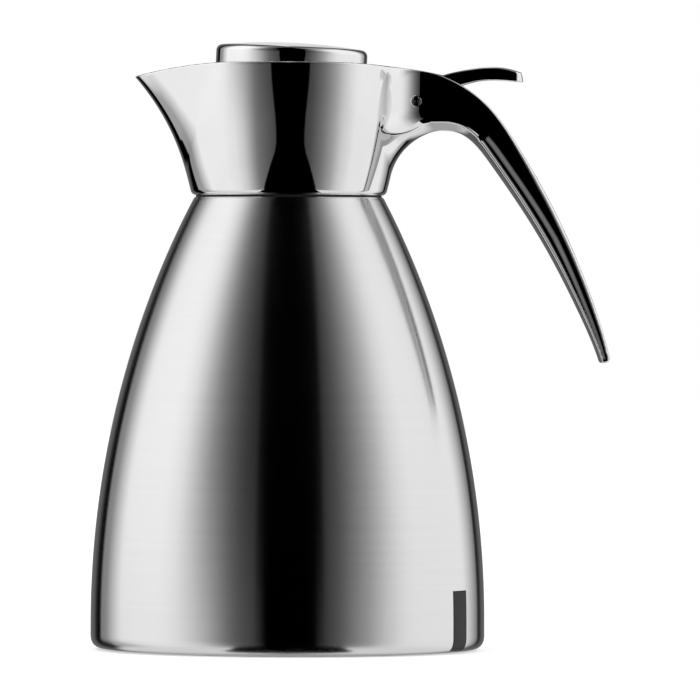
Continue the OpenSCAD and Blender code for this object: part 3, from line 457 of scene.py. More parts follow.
def spine_place(x, z):
    """Nearest place on the middle line: how far along it, and how far outwards from it."""
    shape = np.broadcast_shapes(np.shape(x), np.shape(z))
    fx, fz = np.broadcast_to(x, shape).ravel(), np.broadcast_to(z, shape).ravel()
    along, off = np.empty(fx.size), np.empty(fx.size)
    for start in range(0, fx.size, SPINE_CHUNK):
        part = slice(start, start + SPINE_CHUNK)
        cx, cz = fx[part], fz[part]
        near = ((cx[:, None] - SP["p"][:, 0]) ** 2 + (cz[:, None] - SP["p"][:, 1]) ** 2).argmin(1)
        dx, dz = cx - SP["p"][near, 0], cz - SP["p"][near, 1]
        t = dx * SP["go"][near, 0] + dz * SP["go"][near, 1]
        o = dx * SP["out"][near, 0] + dz * SP["out"][near, 1]
        bend = 1 - SP["bend"][near] * o
        inner = (near > 0) & (near < SPINE_SAMPLES - 1)
        t_on = np.where(inner, t / np.maximum(bend, 0.2), t)
        along[part] = SP["s"][near] + t_on
        off[part] = o - np.where(inner, 0.5 * SP["bend"][near] * t * t_on, 0)
    return along.reshape(shape), off.reshape(shape)


def handle_field(x, y, z):
    """The horn's section, from its back to the grip's inner side: a back face, a bevel, a flat
    side, below the knee a shallow step down to a second flat, and a keel of two sloping faces.
    Depth is measured from the keel's line."""
    along, off = spine_place(x, z)
    s = np.clip(along, 0, HANDLE_END)
    half = np.interp(s, SP["s"], SP["half"])
    depth = off + half
    tapered = np.clip((s - TAPER_S) / (HANDLE_END - TAPER_S), 0, 1)
    wide = GRIP_HALF - GRIP_TAPER * tapered ** TAPER_POWER
    size = np.interp(s, *SECTION_SIZE)
    below_knee = np.clip((s - KNEE_S) / KNEE_RUN, 0, 1)
    past_root = np.clip((s - BEVEL_S) / BEVEL_RUN, 0, 1)

    flat = np.abs(y) - wide
    step_down = STEP_DEPTH * size * below_knee
    facet = flat * math.cos(FACET_SLOPE) - (depth - FACET_DEPTH * size) * math.sin(FACET_SLOPE)
    soft = 0.01 + STEP_SOFT * below_knee
    side = join_soft(flat + step_down, cut_soft(flat, facet, soft), soft)
    back = off - half
    lowered = back + BEVEL_DEPTH * size * past_root
    bevel = flat * math.cos(BEVEL_LEAN) + lowered * math.sin(BEVEL_LEAN)
    body = cut_round(side, bevel, SIDE_ROUND)
    body = cut_round(body, back, np.interp(s, *BACK_ROUND))
    keel = (wide - step_down) * np.interp(s, *KEEL_SLOPE)
    under = keel * (np.hypot(y, KEEL_ROUND) - KEEL_ROUND) - depth * wide
    body = cut_round(body, under / np.hypot(keel, wide), np.interp(s, *INNER_ROUND))
    body = cut_round(body, -along, ROOT_ROUND)
    return cut_round(body, along - HANDLE_END - TIP_PAST, TIP_ROUND)


def room(x, z, start, stop, floor):
    """Room between two places along X, above a floor and open at the top."""
    return np.maximum(np.maximum(start - x, x - stop), floor - z)


def slot_field(x, y, z):
    """Room for the lever: a notch in the basin's wall, the hinge pocket and the lever's channel."""
    (x_a, x_b), (z_a, z_b) = CHANNEL_X, CHANNEL_Z
    channel = room(x, z, x_a, x_b, z_a + (x - x_a) * (z_b - z_a) / (x_b - x_a))
    open_room = np.minimum(np.minimum(room(x, z, *NOTCH), room(x, z, *POCKET)), channel)
    return np.maximum(open_room, np.abs(y) - SLOT_HALF)


def head_field(x, y, z):
    """Head and handle in one casting, hollowed for the basin, the flange, the slot and the pin."""
    plan = head_plan(x, y, z)
    bowl = cut_round(plan, HEAD_Z - z, HEAD_FOOT_ROUND)
    rise = np.clip((z - FILLET_Z) / FILLET_RUN, 0, 1)
    fillet = FILLET_R - FILLET_LESS * rise ** 2 * (3 - 2 * rise)
    solid = join_round(bowl, handle_field(x, y, z), fillet)
    solid = cut_round(solid, z - (RIM_Z - rim_drop(x)), RIM_ROUND)
    basin = np.maximum(plan + HEAD_WALL, FLANGE_TOP - z)
    solid = cut_round(solid, -basin, BASIN_ROUND)
    solid = cut_round(solid, FLANGE_HOLE_R - np.hypot(x, y), FLANGE_ROUND)
    solid = cut_round(solid, -slot_field(x, y, z), BASIN_ROUND)
    hole = np.hypot(x - HINGE_X, z - HINGE_Z)
    bore = np.minimum(hole - PIN_R, np.maximum(hole - RECESS_R, PIN_L / 2 - np.abs(y)))
    return cut_round(solid, -bore, BORE_ROUND)


# ---------------------------------------------------------------- lever

LEVER_OVER = [[(9.6, 9.5), (16, 11.5), (22, 12.7), (27.5, 12.7)],
              [(27.5, 12.7), (32, 12.7), (35, 11.8), (38.1, 10.6)]]
LEVER_UNDER = [[(39, 7.1), (35, 7.9), (30, 8.1), (26.5, 8.1)],
               [(26.5, 8.1), (22, 8.0), (18, 6.8), (14.5, 4.8)]]


def cubic(points, steps=28):
    """Points of a cubic Bezier curve."""
    p = np.asarray(points, float)
    t = np.linspace(0, 1, steps)[:, None]
    low = (1 - t) ** 3 * p[0] + 3 * t * (1 - t) ** 2 * p[1]
    return low + 3 * t * t * (1 - t) * p[2] + t ** 3 * p[3]


# The lever's side outline, measured from the pin.
LEVER_SIDE = np.vstack([
    [(2.94, -2.94), (-3.36, -2.1), (-4.2, 1.2), (-8, 3.4), (-19, 6.7), (-21.5, 9.7), (-21.5, 11.7)],
    [(-19, 11.7), (-17, 12.5), (-10, 12.3), (-4, 11.4), (5.5, 10.4)],
    cubic(LEVER_OVER[0]), cubic(LEVER_OVER[1])[1:],
    cubic(LEVER_UNDER[0]), cubic(LEVER_UNDER[1])[1:],
    [(10.5, 1.8), (4.8, -0.8)],
]) + (HINGE_X, HINGE_Z)


def lever_field(x, y, z):
    """Arm, hinge barrel and thumb rest from one side outline, with a softly crowned top, and the
    round plate inside the lid. Bores for bushes, spring and screws are cut out."""
    crown = np.clip(x - CROWN_X, 0, CROWN_RUN) / CROWN_RUN * y ** 2 / CROWN_R
    side = outline_field(LEVER_SIDE, x, z + crown)
    flat = np.abs(y) - STEM_HALF
    nose = flat * NOSE_FACET[0] + (x - NOSE_FACET_X) * NOSE_FACET[1]
    plan = cut_round(cut_round(flat, nose, NOSE_EDGE), x - NOSE_X, NOSE_ROUND)
    arm = cut_round(side, plan, ARM_ROUND)
    from_pin = np.hypot(x - HINGE_X, z - HINGE_Z)
    barrel = cut_round(from_pin - BARREL_R, flat, BARREL_ROUND)
    level = np.abs(z - PLATE_Z) - PLATE_HALF
    plate = cut_round(np.hypot(x, y) - PLATE_R, level, BARREL_ROUND)
    strap = np.maximum(np.maximum(np.abs(x - STRAP_X) - STRAP_HALF, flat), level)
    solid = np.minimum(np.minimum(arm, barrel), np.minimum(plate, strap))
    solid = cut_round(solid, BUSH_HOLE_R - from_pin, NOSE_EDGE)
    solid = np.maximum(solid, -np.maximum(from_pin - COIL_ROOM_R, np.abs(y) - COIL_ROOM_HALF))
    c, s = math.cos(HIGH_LEG_SLOPE), math.sin(HIGH_LEG_SLOPE)
    ahead = (x - HINGE_X) * c + (z - HINGE_Z) * s
    above = (z - HINGE_Z) * c - (x - HINGE_X) * s
    groove = np.maximum(np.abs(ahead - LEG_ROOM_MID) - LEG_ROOM_MID,
                        np.abs(y - LEG_Y) - LEG_ROOM_HALF)
    solid = np.maximum(solid, -np.maximum(groove, above - LEG_ROOM_TOP))
    for k in range(3):
        a = math.radians(60 + 120 * k)
        at = SCREW_RING_R * math.cos(a), SCREW_RING_R * math.sin(a)
        solid = np.maximum(solid, SCREW_HOLE_R - np.hypot(x - at[0], y - at[1]))
    return np.maximum(solid, PLUG_HOLE_R - np.hypot(x, y))


# ---------------------------------------------------------------- turned parts

def corner_curve(start, corner, stop, steps):
    """Quadratic curve from start to stop, drawn towards the corner between them."""
    t = np.linspace(0, 1, steps)[:, None]
    a, b, c = np.array([start, corner, stop])
    return (1 - t) ** 2 * a + 2 * t * (1 - t) * b + t ** 2 * c


def side_curve(steps):
    """The body's side from the shoulder down to the foot, a cubic curve."""
    return cubic([(SHOULDER_R, SHOULDER_Z), (47.5, 138.9), (BODY_R, 83.7), (BODY_R, 10.0)], steps)


def foot_curve(wall=0.0, steps=20):
    """The rounding at the foot, wall mm inside the outer face."""
    r, z = BODY_R - wall, FOOT_Z + wall
    return corner_curve((r, FOOT_TURN), (r, z), (FOOT_R, z), steps)


def moved_in(line, inset):
    """The line moved inwards by inset, square to its own slope."""
    slope = np.gradient(line, axis=0)
    slope /= np.linalg.norm(slope, axis=1)[:, None]
    return line + inset * np.stack([slope[:, 1], -slope[:, 0]], 1)


def side_radius(z):
    """Radius of the body's side at height z."""
    line = np.vstack([side_curve(400), foot_curve()])[::-1]
    return np.interp(z, line[:, 1], line[:, 0])


def shell_outline():
    """Closed outline of the outer shell: neck, side and foot, and back inside them."""
    side = side_curve(120)
    inner = moved_in(side, SHELL_WALL)
    inner = inner[inner[:, 1] < SHOULDER_Z - SHELL_WALL]
    bore = NECK_R - SHELL_WALL
    turn = (NECK_R, SHOULDER_Z + SHOULDER_ROLL)
    neck = [(bore, NECK_TOP), (NECK_R, NECK_TOP), turn]
    roll = softened([turn, (NECK_R, SHOULDER_Z), (SHOULDER_R - 0.4, SHOULDER_Z)],
                    SHOULDER_ROLL, 3, False)[1:]
    edge = [(SHOULDER_R - 0.12, SHOULDER_Z - 0.03)]
    lip = [(FOOT_LIP_R, FOOT_Z), (FOOT_LIP_R, FOOT_Z + SHELL_WALL)]
    back = [(bore, SHOULDER_Z - SHELL_WALL)]
    return np.vstack([neck, roll, edge, side[1:], foot_curve(), lip,
                      foot_curve(SHELL_WALL, 16)[::-1], inner[::-1], back])


def flask_outline():
    """Closed outline of the inner flask, from its mouth down to the floor on both faces."""
    lines = []
    for wall in (0.0, FLASK_WALL):
        inset = FLASK_INSET + wall
        floor, turn, r = FLASK_FLOOR + wall, FLASK_TURN - wall, BODY_R - inset
        line = moved_in(side_curve(90), inset)
        line = line[line[:, 1] > floor + turn + 1]
        corner = corner_curve((r, floor + turn), (r, floor), (r - turn, floor), 14)
        neck = [(MOUTH_R + FLASK_WALL - wall, line[0, 1] + FLASK_NECK)]
        lines.append(np.vstack([neck, line, corner, [(0.01, floor)]]))
    mouth = [(MOUTH_R, MOUTH_Z), (NECK_R, MOUTH_Z), (NECK_R, NECK_TOP),
             (MOUTH_R + FLASK_WALL, NECK_TOP)]
    return np.vstack([mouth, lines[0], lines[1][::-1]])


def cap_line(wall):
    """Half outline of the cap: a shallow dome, then a quarter round down to the side wall."""
    r, e = CAP_R - wall, max(0.3, CAP_EDGE - wall / 2)
    top, dome = CAP_H - wall, CAP_DOME_R - wall
    rim = r - e
    x = np.linspace(0.02, rim, 40)
    crown = np.stack([x, top - dome + np.sqrt(dome ** 2 - x ** 2)], 1)
    a = np.radians(np.linspace(84, 0, 15))
    z = crown[-1, 1]
    return np.vstack([crown, np.stack([rim + e * np.cos(a), z - e + e * np.sin(a)], 1)])


def deck_grid(cols=256):
    """Ring of the pour deck: the collar with its rounded lip, and a dished floor that runs out to
    the head's wall. Halving finds where the head's plan is, and a power of the turn crowds the
    columns towards the spout."""
    a = np.linspace(-np.pi, np.pi, cols, endpoint=False)
    a = np.sign(a) * np.abs(a / np.pi) ** 1.25 * np.pi
    edge_z = DECK_FLOOR_Z + DECK_RISE
    edge_r, past = np.full(cols, 20.0), np.full(cols, 70.0)
    for _ in range(40):
        mid = (edge_r + past) / 2
        plan = head_plan(-mid * np.cos(a), -mid * np.sin(a), np.full(cols, edge_z))
        inside = plan < -(HEAD_WALL + DECK_PLAY)
        edge_r, past = np.where(inside, mid, edge_r), np.where(inside, past, mid)
    run = edge_r - DECK_COLLAR_R - 1.6
    floor = [(DECK_COLLAR_R + 0.8 + run * u, DECK_FLOOR_Z + 0.15 + 3.85 * u ** 1.5)
             for u in np.linspace(1, 0, 9)]
    below = DECK_FLOOR_Z - DECK_UNDER
    lip = softened([(DECK_COLLAR_R, DECK_FLOOR_Z + 0.9), (DECK_COLLAR_R, DECK_LIP_Z),
                    (DECK_HOLE_R, DECK_LIP_Z), (DECK_HOLE_R, DECK_Z), (NECK_R, DECK_Z),
                    (NECK_R, below)],
                   [0, 0.9, 0.7, 0.4, 0.4, 0], 5, False)
    collar = [(np.full(cols, r), z) for r, z in lip]
    under = [(NECK_R + (edge_r - NECK_R) * u, below + 3.7 * u) for u in (0.33, 0.66, 1.0)]
    outer = [(edge_r, edge_z - 1.2), (edge_r, edge_z - 0.4), (edge_r - 0.3, edge_z)]
    return np.array([np.stack([-r * np.cos(a), -r * np.sin(a), np.full(cols, z)], 1)
                     for r, z in floor + collar + under + outer])


def tube(path, radius, sides=14):
    """Round wire along a path, its section turned to stay square to the cross axis."""
    go = np.gradient(path, axis=0)
    go /= np.linalg.norm(go, axis=1)[:, None]
    side = np.cross(go, (0.0, 1.0, 0.0))
    side /= np.linalg.norm(side, axis=1)[:, None]
    up = np.cross(go, side)
    a = np.linspace(0, 2 * np.pi, sides, endpoint=False)
    ring = np.cos(a)[None, :, None] * side[:, None] + np.sin(a)[None, :, None] * up[:, None]
    return path[:, None] + radius * ring


def spring_line():
    """In along the lower leg, three and a half turns round the pin, out along the upper leg."""
    half_l = COIL_PITCH * COIL_TURNS / 2
    fall, rise = math.asin((LOW_LEG_DROP - COIL_R - WIRE / 2 - 0.05) / LEG_L), HIGH_LEG_SLOPE
    start, sweep = -math.pi / 2 - fall, math.radians(COIL_TURNS * 360) - fall - rise
    t = np.linspace(0, 1, 150)
    a = start - sweep * t
    coil = np.stack([HINGE_X + COIL_R * np.cos(a), half_l * (2 * t - 1),
                     HINGE_Z + COIL_R * np.sin(a)], 1)
    u = np.linspace(1, 0.1, 8)[:, None] * LEG_L
    first = coil[0] + u * (math.cos(fall), 0, -math.sin(fall))
    last = coil[-1] + u[::-1] * (math.cos(rise), 0, math.sin(rise))
    return np.vstack([first, coil, last])


# ---------------------------------------------------------------- shader groups

VALUE = "NodeSocketFloat"
GROUP_OUTPUTS = ("Tone", "Roughness", "Height")


class Nodes:
    """Short calls for the nodes of one tree."""

    def __init__(self, tree):
        self.tree = tree

    def add(self, kind, inputs=None, **settings):
        """Node of that kind: inputs are sockets to link or values to set, by name or number."""
        node = self.tree.nodes.new(kind)
        for key, value in settings.items():
            setattr(node, key, value)
        for key, value in (inputs or {}).items():
            if isinstance(value, bpy.types.NodeSocket):
                self.tree.links.new(value, node.inputs[key])
            else:
                node.inputs[key].default_value = value
        return node

    def link(self, a, b):
        self.tree.links.new(a, b)

    def math(self, operation, *values, clamp=False):
        node = self.add("ShaderNodeMath", {i: v for i, v in enumerate(values)}, operation=operation)
        node.use_clamp = clamp
        return node.outputs[0]

    def plus(self, a, b):
        return self.math("ADD", a, b)

    def minus(self, a, b):
        return self.math("SUBTRACT", a, b)

    def times(self, a, b):
        return self.math("MULTIPLY", a, b)

    def swing(self, noise, amount):
        """Noise about its middle value, so that it swings by amount both ways."""
        return self.times(self.minus(noise, 0.5), amount)

    def rising(self, value, start, run):
        """0 up to start, then straight up to 1 over run."""
        return self.math("DIVIDE", self.minus(value, start), run, clamp=True)

    def span(self, value, from_low, from_high, to_low=0.0, to_high=1.0):
        return self.add("ShaderNodeMapRange", {
            "Value": value, "From Min": from_low, "From Max": from_high,
            "To Min": to_low, "To Max": to_high}).outputs["Result"]

    def place(self):
        return self.add("ShaderNodeTexCoord").outputs["Object"]

    def scaled(self, vector, factors):
        return self.add("ShaderNodeVectorMath", {0: vector, 1: factors},
                        operation="MULTIPLY").outputs[0]

    def noise(self, vector, scale, detail=2.0, roughness=0.5):
        return self.add("ShaderNodeTexNoise", {
            "Vector": vector, "Scale": scale, "Detail": detail,
            "Roughness": roughness}).outputs["Fac"]

    def blend(self, factor, a, b):
        return self.add("ShaderNodeMixRGB", {"Fac": factor, "Color1": a, "Color2": b}).outputs[0]

    def blend_value(self, factor, a, b):
        return self.add("ShaderNodeMix", {"Factor": factor, "A": a, "B": b}).outputs[0]


def group_of(name, **inputs):
    """Empty shader group with those inputs. Gives the group, its nodes, the sockets that come in
    and the ones that go out."""
    group = bpy.data.node_groups.new(name, "ShaderNodeTree")
    new_socket = group.interface.new_socket
    for label, value in inputs.items():
        new_socket(name=label, in_out="INPUT", socket_type=VALUE).default_value = value
    for label in GROUP_OUTPUTS:
        new_socket(name=label, in_out="OUTPUT", socket_type=VALUE)
    n = Nodes(group)
    return group, n, n.add("NodeGroupInput").outputs, n.add("NodeGroupOutput").inputs


def make_brushing():
    """Horizontal brush lines: noise squeezed hard along Z and drawn out round the body, in two
    sizes, with slow streaks of tone. Tone is near 1, Height is for a bump."""
    group, n, given, out = group_of("brushing", Lines=3200.0, Tone=0.08, Base=0.3, Spread=0.08)
    place = n.place()
    squeeze = n.add("ShaderNodeCombineXYZ", {"X": 14.0, "Y": 14.0, "Z": given["Lines"]}).outputs[0]
    drawn = n.scaled(place, squeeze)
    fine = n.noise(drawn, 1.0, 3.0, 0.6)
    coarse = n.noise(n.scaled(drawn, (0.6, 0.6, 0.22)), 1.0)
    both = n.plus(n.times(fine, 0.6), n.times(coarse, 0.4))
    slow = n.noise(place, 22.0, 3.0, 0.55)
    swing = n.swing(both, 2.0)
    tone = n.plus(1.0, n.times(swing, given["Tone"]))
    n.link(n.plus(tone, n.swing(slow, 0.04)), out["Tone"])
    rough = n.plus(given["Base"], n.times(swing, given["Spread"]))
    n.link(n.plus(rough, n.swing(slow, 0.06)), out["Roughness"])
    n.link(both, out["Height"])
    return group


def make_polish():
    """Mirror polish: slow waves left by the wheel, a breath of haze, and sparse hair lines."""
    group, n, given, out = group_of("polish", Base=0.03, Haze=0.05, Hairlines=0.4)
    place = n.place()
    waves = n.noise(place, 26.0, 1.0, 0.4)
    haze = n.noise(place, 75.0, 4.0, 0.62)
    hair = n.noise(n.scaled(place, (260.0, 900.0, 3600.0)), 1.0)
    lines = n.times(n.span(hair, 0.66, 0.74), given["Hairlines"])
    patch = n.span(haze, 0.45, 0.75)
    rough = n.plus(given["Base"], n.times(patch, given["Haze"]))
    n.link(n.plus(rough, n.times(lines, 0.05)), out["Roughness"])
    n.link(n.minus(1.0, n.times(patch, 0.03)), out["Tone"])
    n.link(n.plus(waves, n.times(lines, 0.004)), out["Height"])
    return group


def make_moulding():
    """Moulded skin: fine grain with a little orange peel, dust in slow patches."""
    group, n, given, out = group_of("moulding", Grain=2400.0, Base=0.45, Spread=0.12)
    place = n.place()
    grain = n.noise(place, given["Grain"])
    peel = n.noise(place, 320.0)
    dust = n.swing(n.noise(place, 60.0, 4.0, 0.6), 2.0)
    n.link(n.plus(n.times(grain, 0.6), n.times(peel, 0.4)), out["Height"])
    n.link(n.plus(given["Base"], n.times(dust, given["Spread"])), out["Roughness"])
    n.link(n.plus(1.0, n.times(dust, 0.35)), out["Tone"])
    return group


BRUSHING, POLISH, MOULDING = make_brushing(), make_polish(), make_moulding()
METAL = {"Metallic": 1.0}

# Every finish, by its slot: the material's name and colour, its group and the group's three or four
# values in order, the bump's strength and distance in metres, and the shader's own constants.
FINISHES = {
    "brushed_shell": ("brushed_steel", (0.78, 0.78, 0.785), BRUSHING, (4200.0, 0.05, 0.2, 0.035),
                      0.07, 0.00003, METAL | {"Anisotropic": 1.0, "Anisotropic Rotation": 0.25}),
    "polished_metal": ("polished_metal", (0.86, 0.86, 0.865), POLISH, (0.035, 0.03, 0.5),
                       0.05, 0.0006, METAL),
    "inner_steel": ("satin_inner_steel", (0.66, 0.66, 0.66), BRUSHING, (2200.0, 0.06, 0.34, 0.08),
                    0.1, 0.00004, METAL),
    "base_steel": ("satin_base_steel", (0.58, 0.58, 0.58), BRUSHING, (1500.0, 0.08, 0.4, 0.1),
                   0.1, 0.00005, METAL),
    "pin_steel": ("ground_steel", (0.6, 0.6, 0.62), POLISH, (0.16, 0.15, 1.0), 0.1, 0.0003, METAL),
    "spring_steel": ("drawn_wire", (0.45, 0.45, 0.47), POLISH, (0.25, 0.2, 1.0),
                     0.1, 0.0002, METAL),
    "black_plastic": ("satin_black_plastic", (0.018, 0.018, 0.019), MOULDING, (2600.0, 0.4, 0.1),
                      0.12, 0.00008, {}),
    "black_rubber": ("matte_black_rubber", (0.016, 0.016, 0.016), MOULDING, (1800.0, 0.72, 0.12),
                     0.25, 0.00012, {}),
    "clear_silicone": ("milky_silicone", (0.62, 0.62, 0.6), MOULDING, (900.0, 0.38, 0.1),
                       0.06, 0.0001, {"Subsurface Weight": 0.3, "Subsurface Scale": 0.002}),
    "bush_plastic": ("slick_bush_plastic", (0.72, 0.71, 0.66), MOULDING, (1500.0, 0.35, 0.08),
                     0.06, 0.00008, {}),
    "foam": ("ivory_foam", (0.8, 0.77, 0.66), MOULDING, (700.0, 0.9, 0.08), 0.8, 0.0006, {}),
    # Painted dark reflection: near-black film with little specular, for the sheet on the body's
    # side.
    "bare_strip": ("dark_satin_film", (0.012, 0.012, 0.013), MOULDING, (1600.0, 0.42, 0.14),
                   0.1, 0.00006, {"Specular IOR Level": 0.25}),
}


def finish_material(name, color, group, values, bump, distance, constants):
    """Principled material whose colour, roughness and bump come from one of the groups. constants
    are the shader's own sockets, set on the shader itself."""
    material = bpy.data.materials.new(name)
    material.use_nodes = True
    n = Nodes(material.node_tree)
    shader = material.node_tree.nodes["Principled BSDF"]
    made = n.add("ShaderNodeGroup", dict(enumerate(values)), node_tree=group).outputs
    tint = n.add("ShaderNodeVectorMath", {0: color, "Scale": made["Tone"]}, operation="SCALE")
    n.link(tint.outputs[0], shader.inputs["Base Color"])
    n.link(made["Roughness"], shader.inputs["Roughness"])
    relief = n.add("ShaderNodeBump",
                   {"Strength": bump, "Distance": distance, "Height": made["Height"]})
    n.link(relief.outputs["Normal"], shader.inputs["Normal"])
    for key, value in constants.items():
        shader.inputs[key].default_value = value
    if "Anisotropic" in constants:
        round_axis = n.add("ShaderNodeTangent", direction_type="RADIAL", axis="Z")
        n.link(round_axis.outputs[0], shader.inputs["Tangent"])
    material.diffuse_color = (*color, 1)
    return material


FINISH = {slot: finish_material(*parts) for slot, parts in FINISHES.items()}


# ---------------------------------------------------------------- camera, light and stage

CAMERA_FAR, CAMERA_Z, VIEW_WIDTH, SENSOR = 3.45, 0.146, 0.2537, 36.0
AIM_X, AIM_Z, CAMERA_ROLL = 0.02235, 0.1087, math.radians(0.19)
# Soft lamps: where, how wide, how strong. Both point at the body's middle.
LAMPS = {"key_soft": ((-1.2, -1.4, 1.6), 1.2, 9.0), "fill_soft": ((1.4, -0.9, 1.1), 1.2, 5.0)}
LAMP_AIM = (0, 0, 0.1)


def place_facing(thing, place, aim, roll=0.0):
    """Put a camera or lamp in its place, turned so that it looks at aim."""
    bpy.context.collection.objects.link(thing)
    thing.location = place
    thing.rotation_mode = "QUATERNION"
    look = (Vector(aim) - thing.location).to_track_quat("-Z", "Y")
    thing.rotation_quaternion = look @ Quaternion(Vector((0, 0, 1)), roll)


def build_camera():
    """A long lens from the side, a little above the rim's half height, turned a touch clockwise."""
    data = bpy.data.cameras.new("camera")
    data.sensor_width = SENSOR
    data.lens = SENSOR * CAMERA_FAR / VIEW_WIDTH
    data.clip_start, data.clip_end = 0.1, 60.0
    camera = bpy.data.objects.new("camera", data)
    place_facing(camera, (AIM_X, -CAMERA_FAR, CAMERA_Z), (AIM_X, 0.0, AIM_Z), CAMERA_ROLL)
    bpy.context.scene.camera = camera


def ramp(n, degrees, stops, unit=1.0):
    """Straight lines between stops of (degrees, value), through a curve of values / unit."""
    low, high = stops[0][0], stops[-1][0]
    node = n.add("ShaderNodeFloatCurve", {"Value": n.span(degrees, low, high)})
    curve = node.mapping.curves[0]
    for _ in stops[2:]:
        curve.points.new(0.5, 0.5)
    for point, (at, value) in zip(curve.points, stops):
        point.location = ((at - low) / (high - low), value / unit / 2)
        point.handle_type = "VECTOR"
    node.mapping.update()
    return n.times(node.outputs[0], unit * 2)


# What metal sees to the left and right of the camera, low down and high up, as (degrees, light).
LEFT_LOW = [(10, 0.045), (24, 0.125), (30, 0.165), (35, 0.22), (40, 0.36), (50, 0.7), (60, 0.9),
            (75, 1.0), (180, 1.0)]
LEFT_HIGH = [(10, 0.015), (24, 0.03), (30, 0.05), (36, 0.085), (42, 0.13), (50, 0.23), (60, 0.54),
             (70, 0.96), (82, 1.15), (180, 1.15)]
RIGHT_LOW = [(10, 0.03), (24, 0.08), (30, 0.13), (35, 0.175), (40, 0.24), (50, 0.42), (60, 0.7),
             (75, 0.93), (180, 1.0)]
RIGHT_HIGH = [(10, 0.015), (24, 0.036), (30, 0.062), (36, 0.11), (42, 0.18), (50, 0.31), (60, 0.53),
              (70, 0.84), (82, 1.03), (180, 1.06)]
# The black flag that edges the backdrop, and the backdrop behind the object.
BACKDROP = [(0, 0.0), (147, 0.0), (149.5, 0.008), (152, 0.04), (154.5, 0.08), (157, 0.117),
            (161, 0.125), (167, 0.145), (173, 0.2), (177, 0.75), (180, 0.78)]
# Half width of the dark doorway in degrees, and how light it is overhead, by the rise in degrees.
DOOR_WIDTH = [(-90, 120), (-62, 62), (-50, 45), (-45, 41), (-38, 38), (-27, 31.5), (-22, 24.5),
              (-19, 20.4), (-16.5, 16.7), (-14, 14.8), (-11, 14.5), (-7, 15.3), (-4, 16.7),
              (1, 19.7), (20, 19.7), (35, 22), (50, 30), (75, 30)]
CEILING = [(-90, 0.9), (50, 1.0), (65, 0.35), (90, 0.2)]
DOOR_SHIFT, DOOR_EDGE, DOOR_UNIT = 1.7, 1.2, 90.0
# Degrees to the side where the grey wall ends on the left and right, how much further the flag
# begins, how soft its edge is, and how far the backdrop is shifted on the right.
WALL_END_LEFT, WALL_END_RIGHT, WALL_LEAN = 126.0, 138.0, 1.4
FLAG_PAST, FLAG_LESS_RIGHT, FLAG_FIRST, FLAG_EDGE, BACKDROP_SHIFT = 14.5, 5.2, 130.0, 1.5, 2.5
# The rise over which low lights change into high ones, and, at eye level and low down, how much
# sooner the grey wall begins than it ends, over how much it fades in, and its grey.
EYE_LEVEL, WALL_BEFORE, WALL_FADE, WALL_GREY = (-8.0, 14.0), (11.0, 6.5), (18.0, 13.5), (0.31, 0.41)
LEAN_BELOW, LEAN_LIMIT, LOW_DOWN = 6.0, -26.0, -12.0
# The table that metal sees: the rise where it begins, and its light in front and far behind.
TABLE_RISE, TABLE_TURN, TABLE_LIGHT = (-27.0, -32.0), (145.0, 170.0), (0.85, 0.42)
DIFFUSE_GREY, WHITE = (0.8, 0.8, 0.8, 1), (1, 1, 1, 1)


def build_world():
    """White to the camera. Metal sees a studio: a dark doorway behind the camera, narrowest at eye
    level, large soft lights at both sides, a grey wall past them, a black flag and a pale backdrop.
    Turn is the angle to the side from the camera, rise the angle upwards, both in degrees."""
    world = bpy.data.worlds.new("studio")
    bpy.context.scene.world = world
    world.use_nodes = True
    n = Nodes(world.node_tree)
    world.node_tree.nodes.clear()
    ray = n.add("ShaderNodeTexCoord").outputs["Generated"]
    parts = n.add("ShaderNodeSeparateXYZ", {0: ray}).outputs
    signed = n.times(n.math("ARCTAN2", parts["X"], n.times(parts["Y"], -1.0)), 180 / math.pi)
    turn = n.math("ABSOLUTE", signed)
    rise = n.times(n.math("ARCSINE", parts["Z"]), 180 / math.pi)
    on_right = n.math("GREATER_THAN", signed, 0.0)

    high_up = n.span(rise, *EYE_LEVEL)
    left = n.blend(high_up, ramp(n, turn, LEFT_LOW), ramp(n, turn, LEFT_HIGH))
    right = n.blend(high_up, ramp(n, turn, RIGHT_LOW), ramp(n, turn, RIGHT_HIGH))
    wall = n.blend(on_right, left, right)

    lower = n.math("MAXIMUM", n.math("MINIMUM", n.plus(rise, LEAN_BELOW), 0.0), LEAN_LIMIT)
    low_down = n.span(lower, 0.0, LOW_DOWN)
    edge = n.blend_value(on_right, n.plus(WALL_END_LEFT, n.times(lower, WALL_LEAN)), WALL_END_RIGHT)
    start = n.minus(edge, n.blend_value(low_down, *WALL_BEFORE))
    past = n.rising(turn, start, n.blend_value(low_down, *WALL_FADE))
    wall = n.blend(past, wall, n.blend_value(low_down, *WALL_GREY))
    flag_at = n.plus(edge, n.minus(FLAG_PAST, n.times(on_right, FLAG_LESS_RIGHT)))
    flagged = n.rising(turn, n.math("MAXIMUM", flag_at, FLAG_FIRST), FLAG_EDGE)
    behind = n.minus(turn, n.times(on_right, BACKDROP_SHIFT))
    wall = n.blend(flagged, wall, ramp(n, behind, BACKDROP))
    table = n.blend_value(n.span(turn, *TABLE_TURN), *TABLE_LIGHT)
    wall = n.blend(n.span(rise, *TABLE_RISE), wall, table)

    from_door = n.math("ABSOLUTE", n.minus(signed, DOOR_SHIFT))
    door = n.rising(from_door, ramp(n, rise, DOOR_WIDTH, DOOR_UNIT), DOOR_EDGE)
    dim = n.times(door, ramp(n, rise, CEILING))
    light = n.add("ShaderNodeVectorMath", {0: wall, "Scale": dim}, operation="SCALE").outputs[0]

    path = n.add("ShaderNodeLightPath").outputs
    shown = n.blend(path["Is Diffuse Ray"], light, DIFFUSE_GREY)
    shown = n.blend(path["Is Camera Ray"], shown, WHITE)
    background = n.add("ShaderNodeBackground", {"Color": shown, "Strength": 1.0})
    n.add("ShaderNodeOutputWorld", {"Surface": background.outputs[0]})


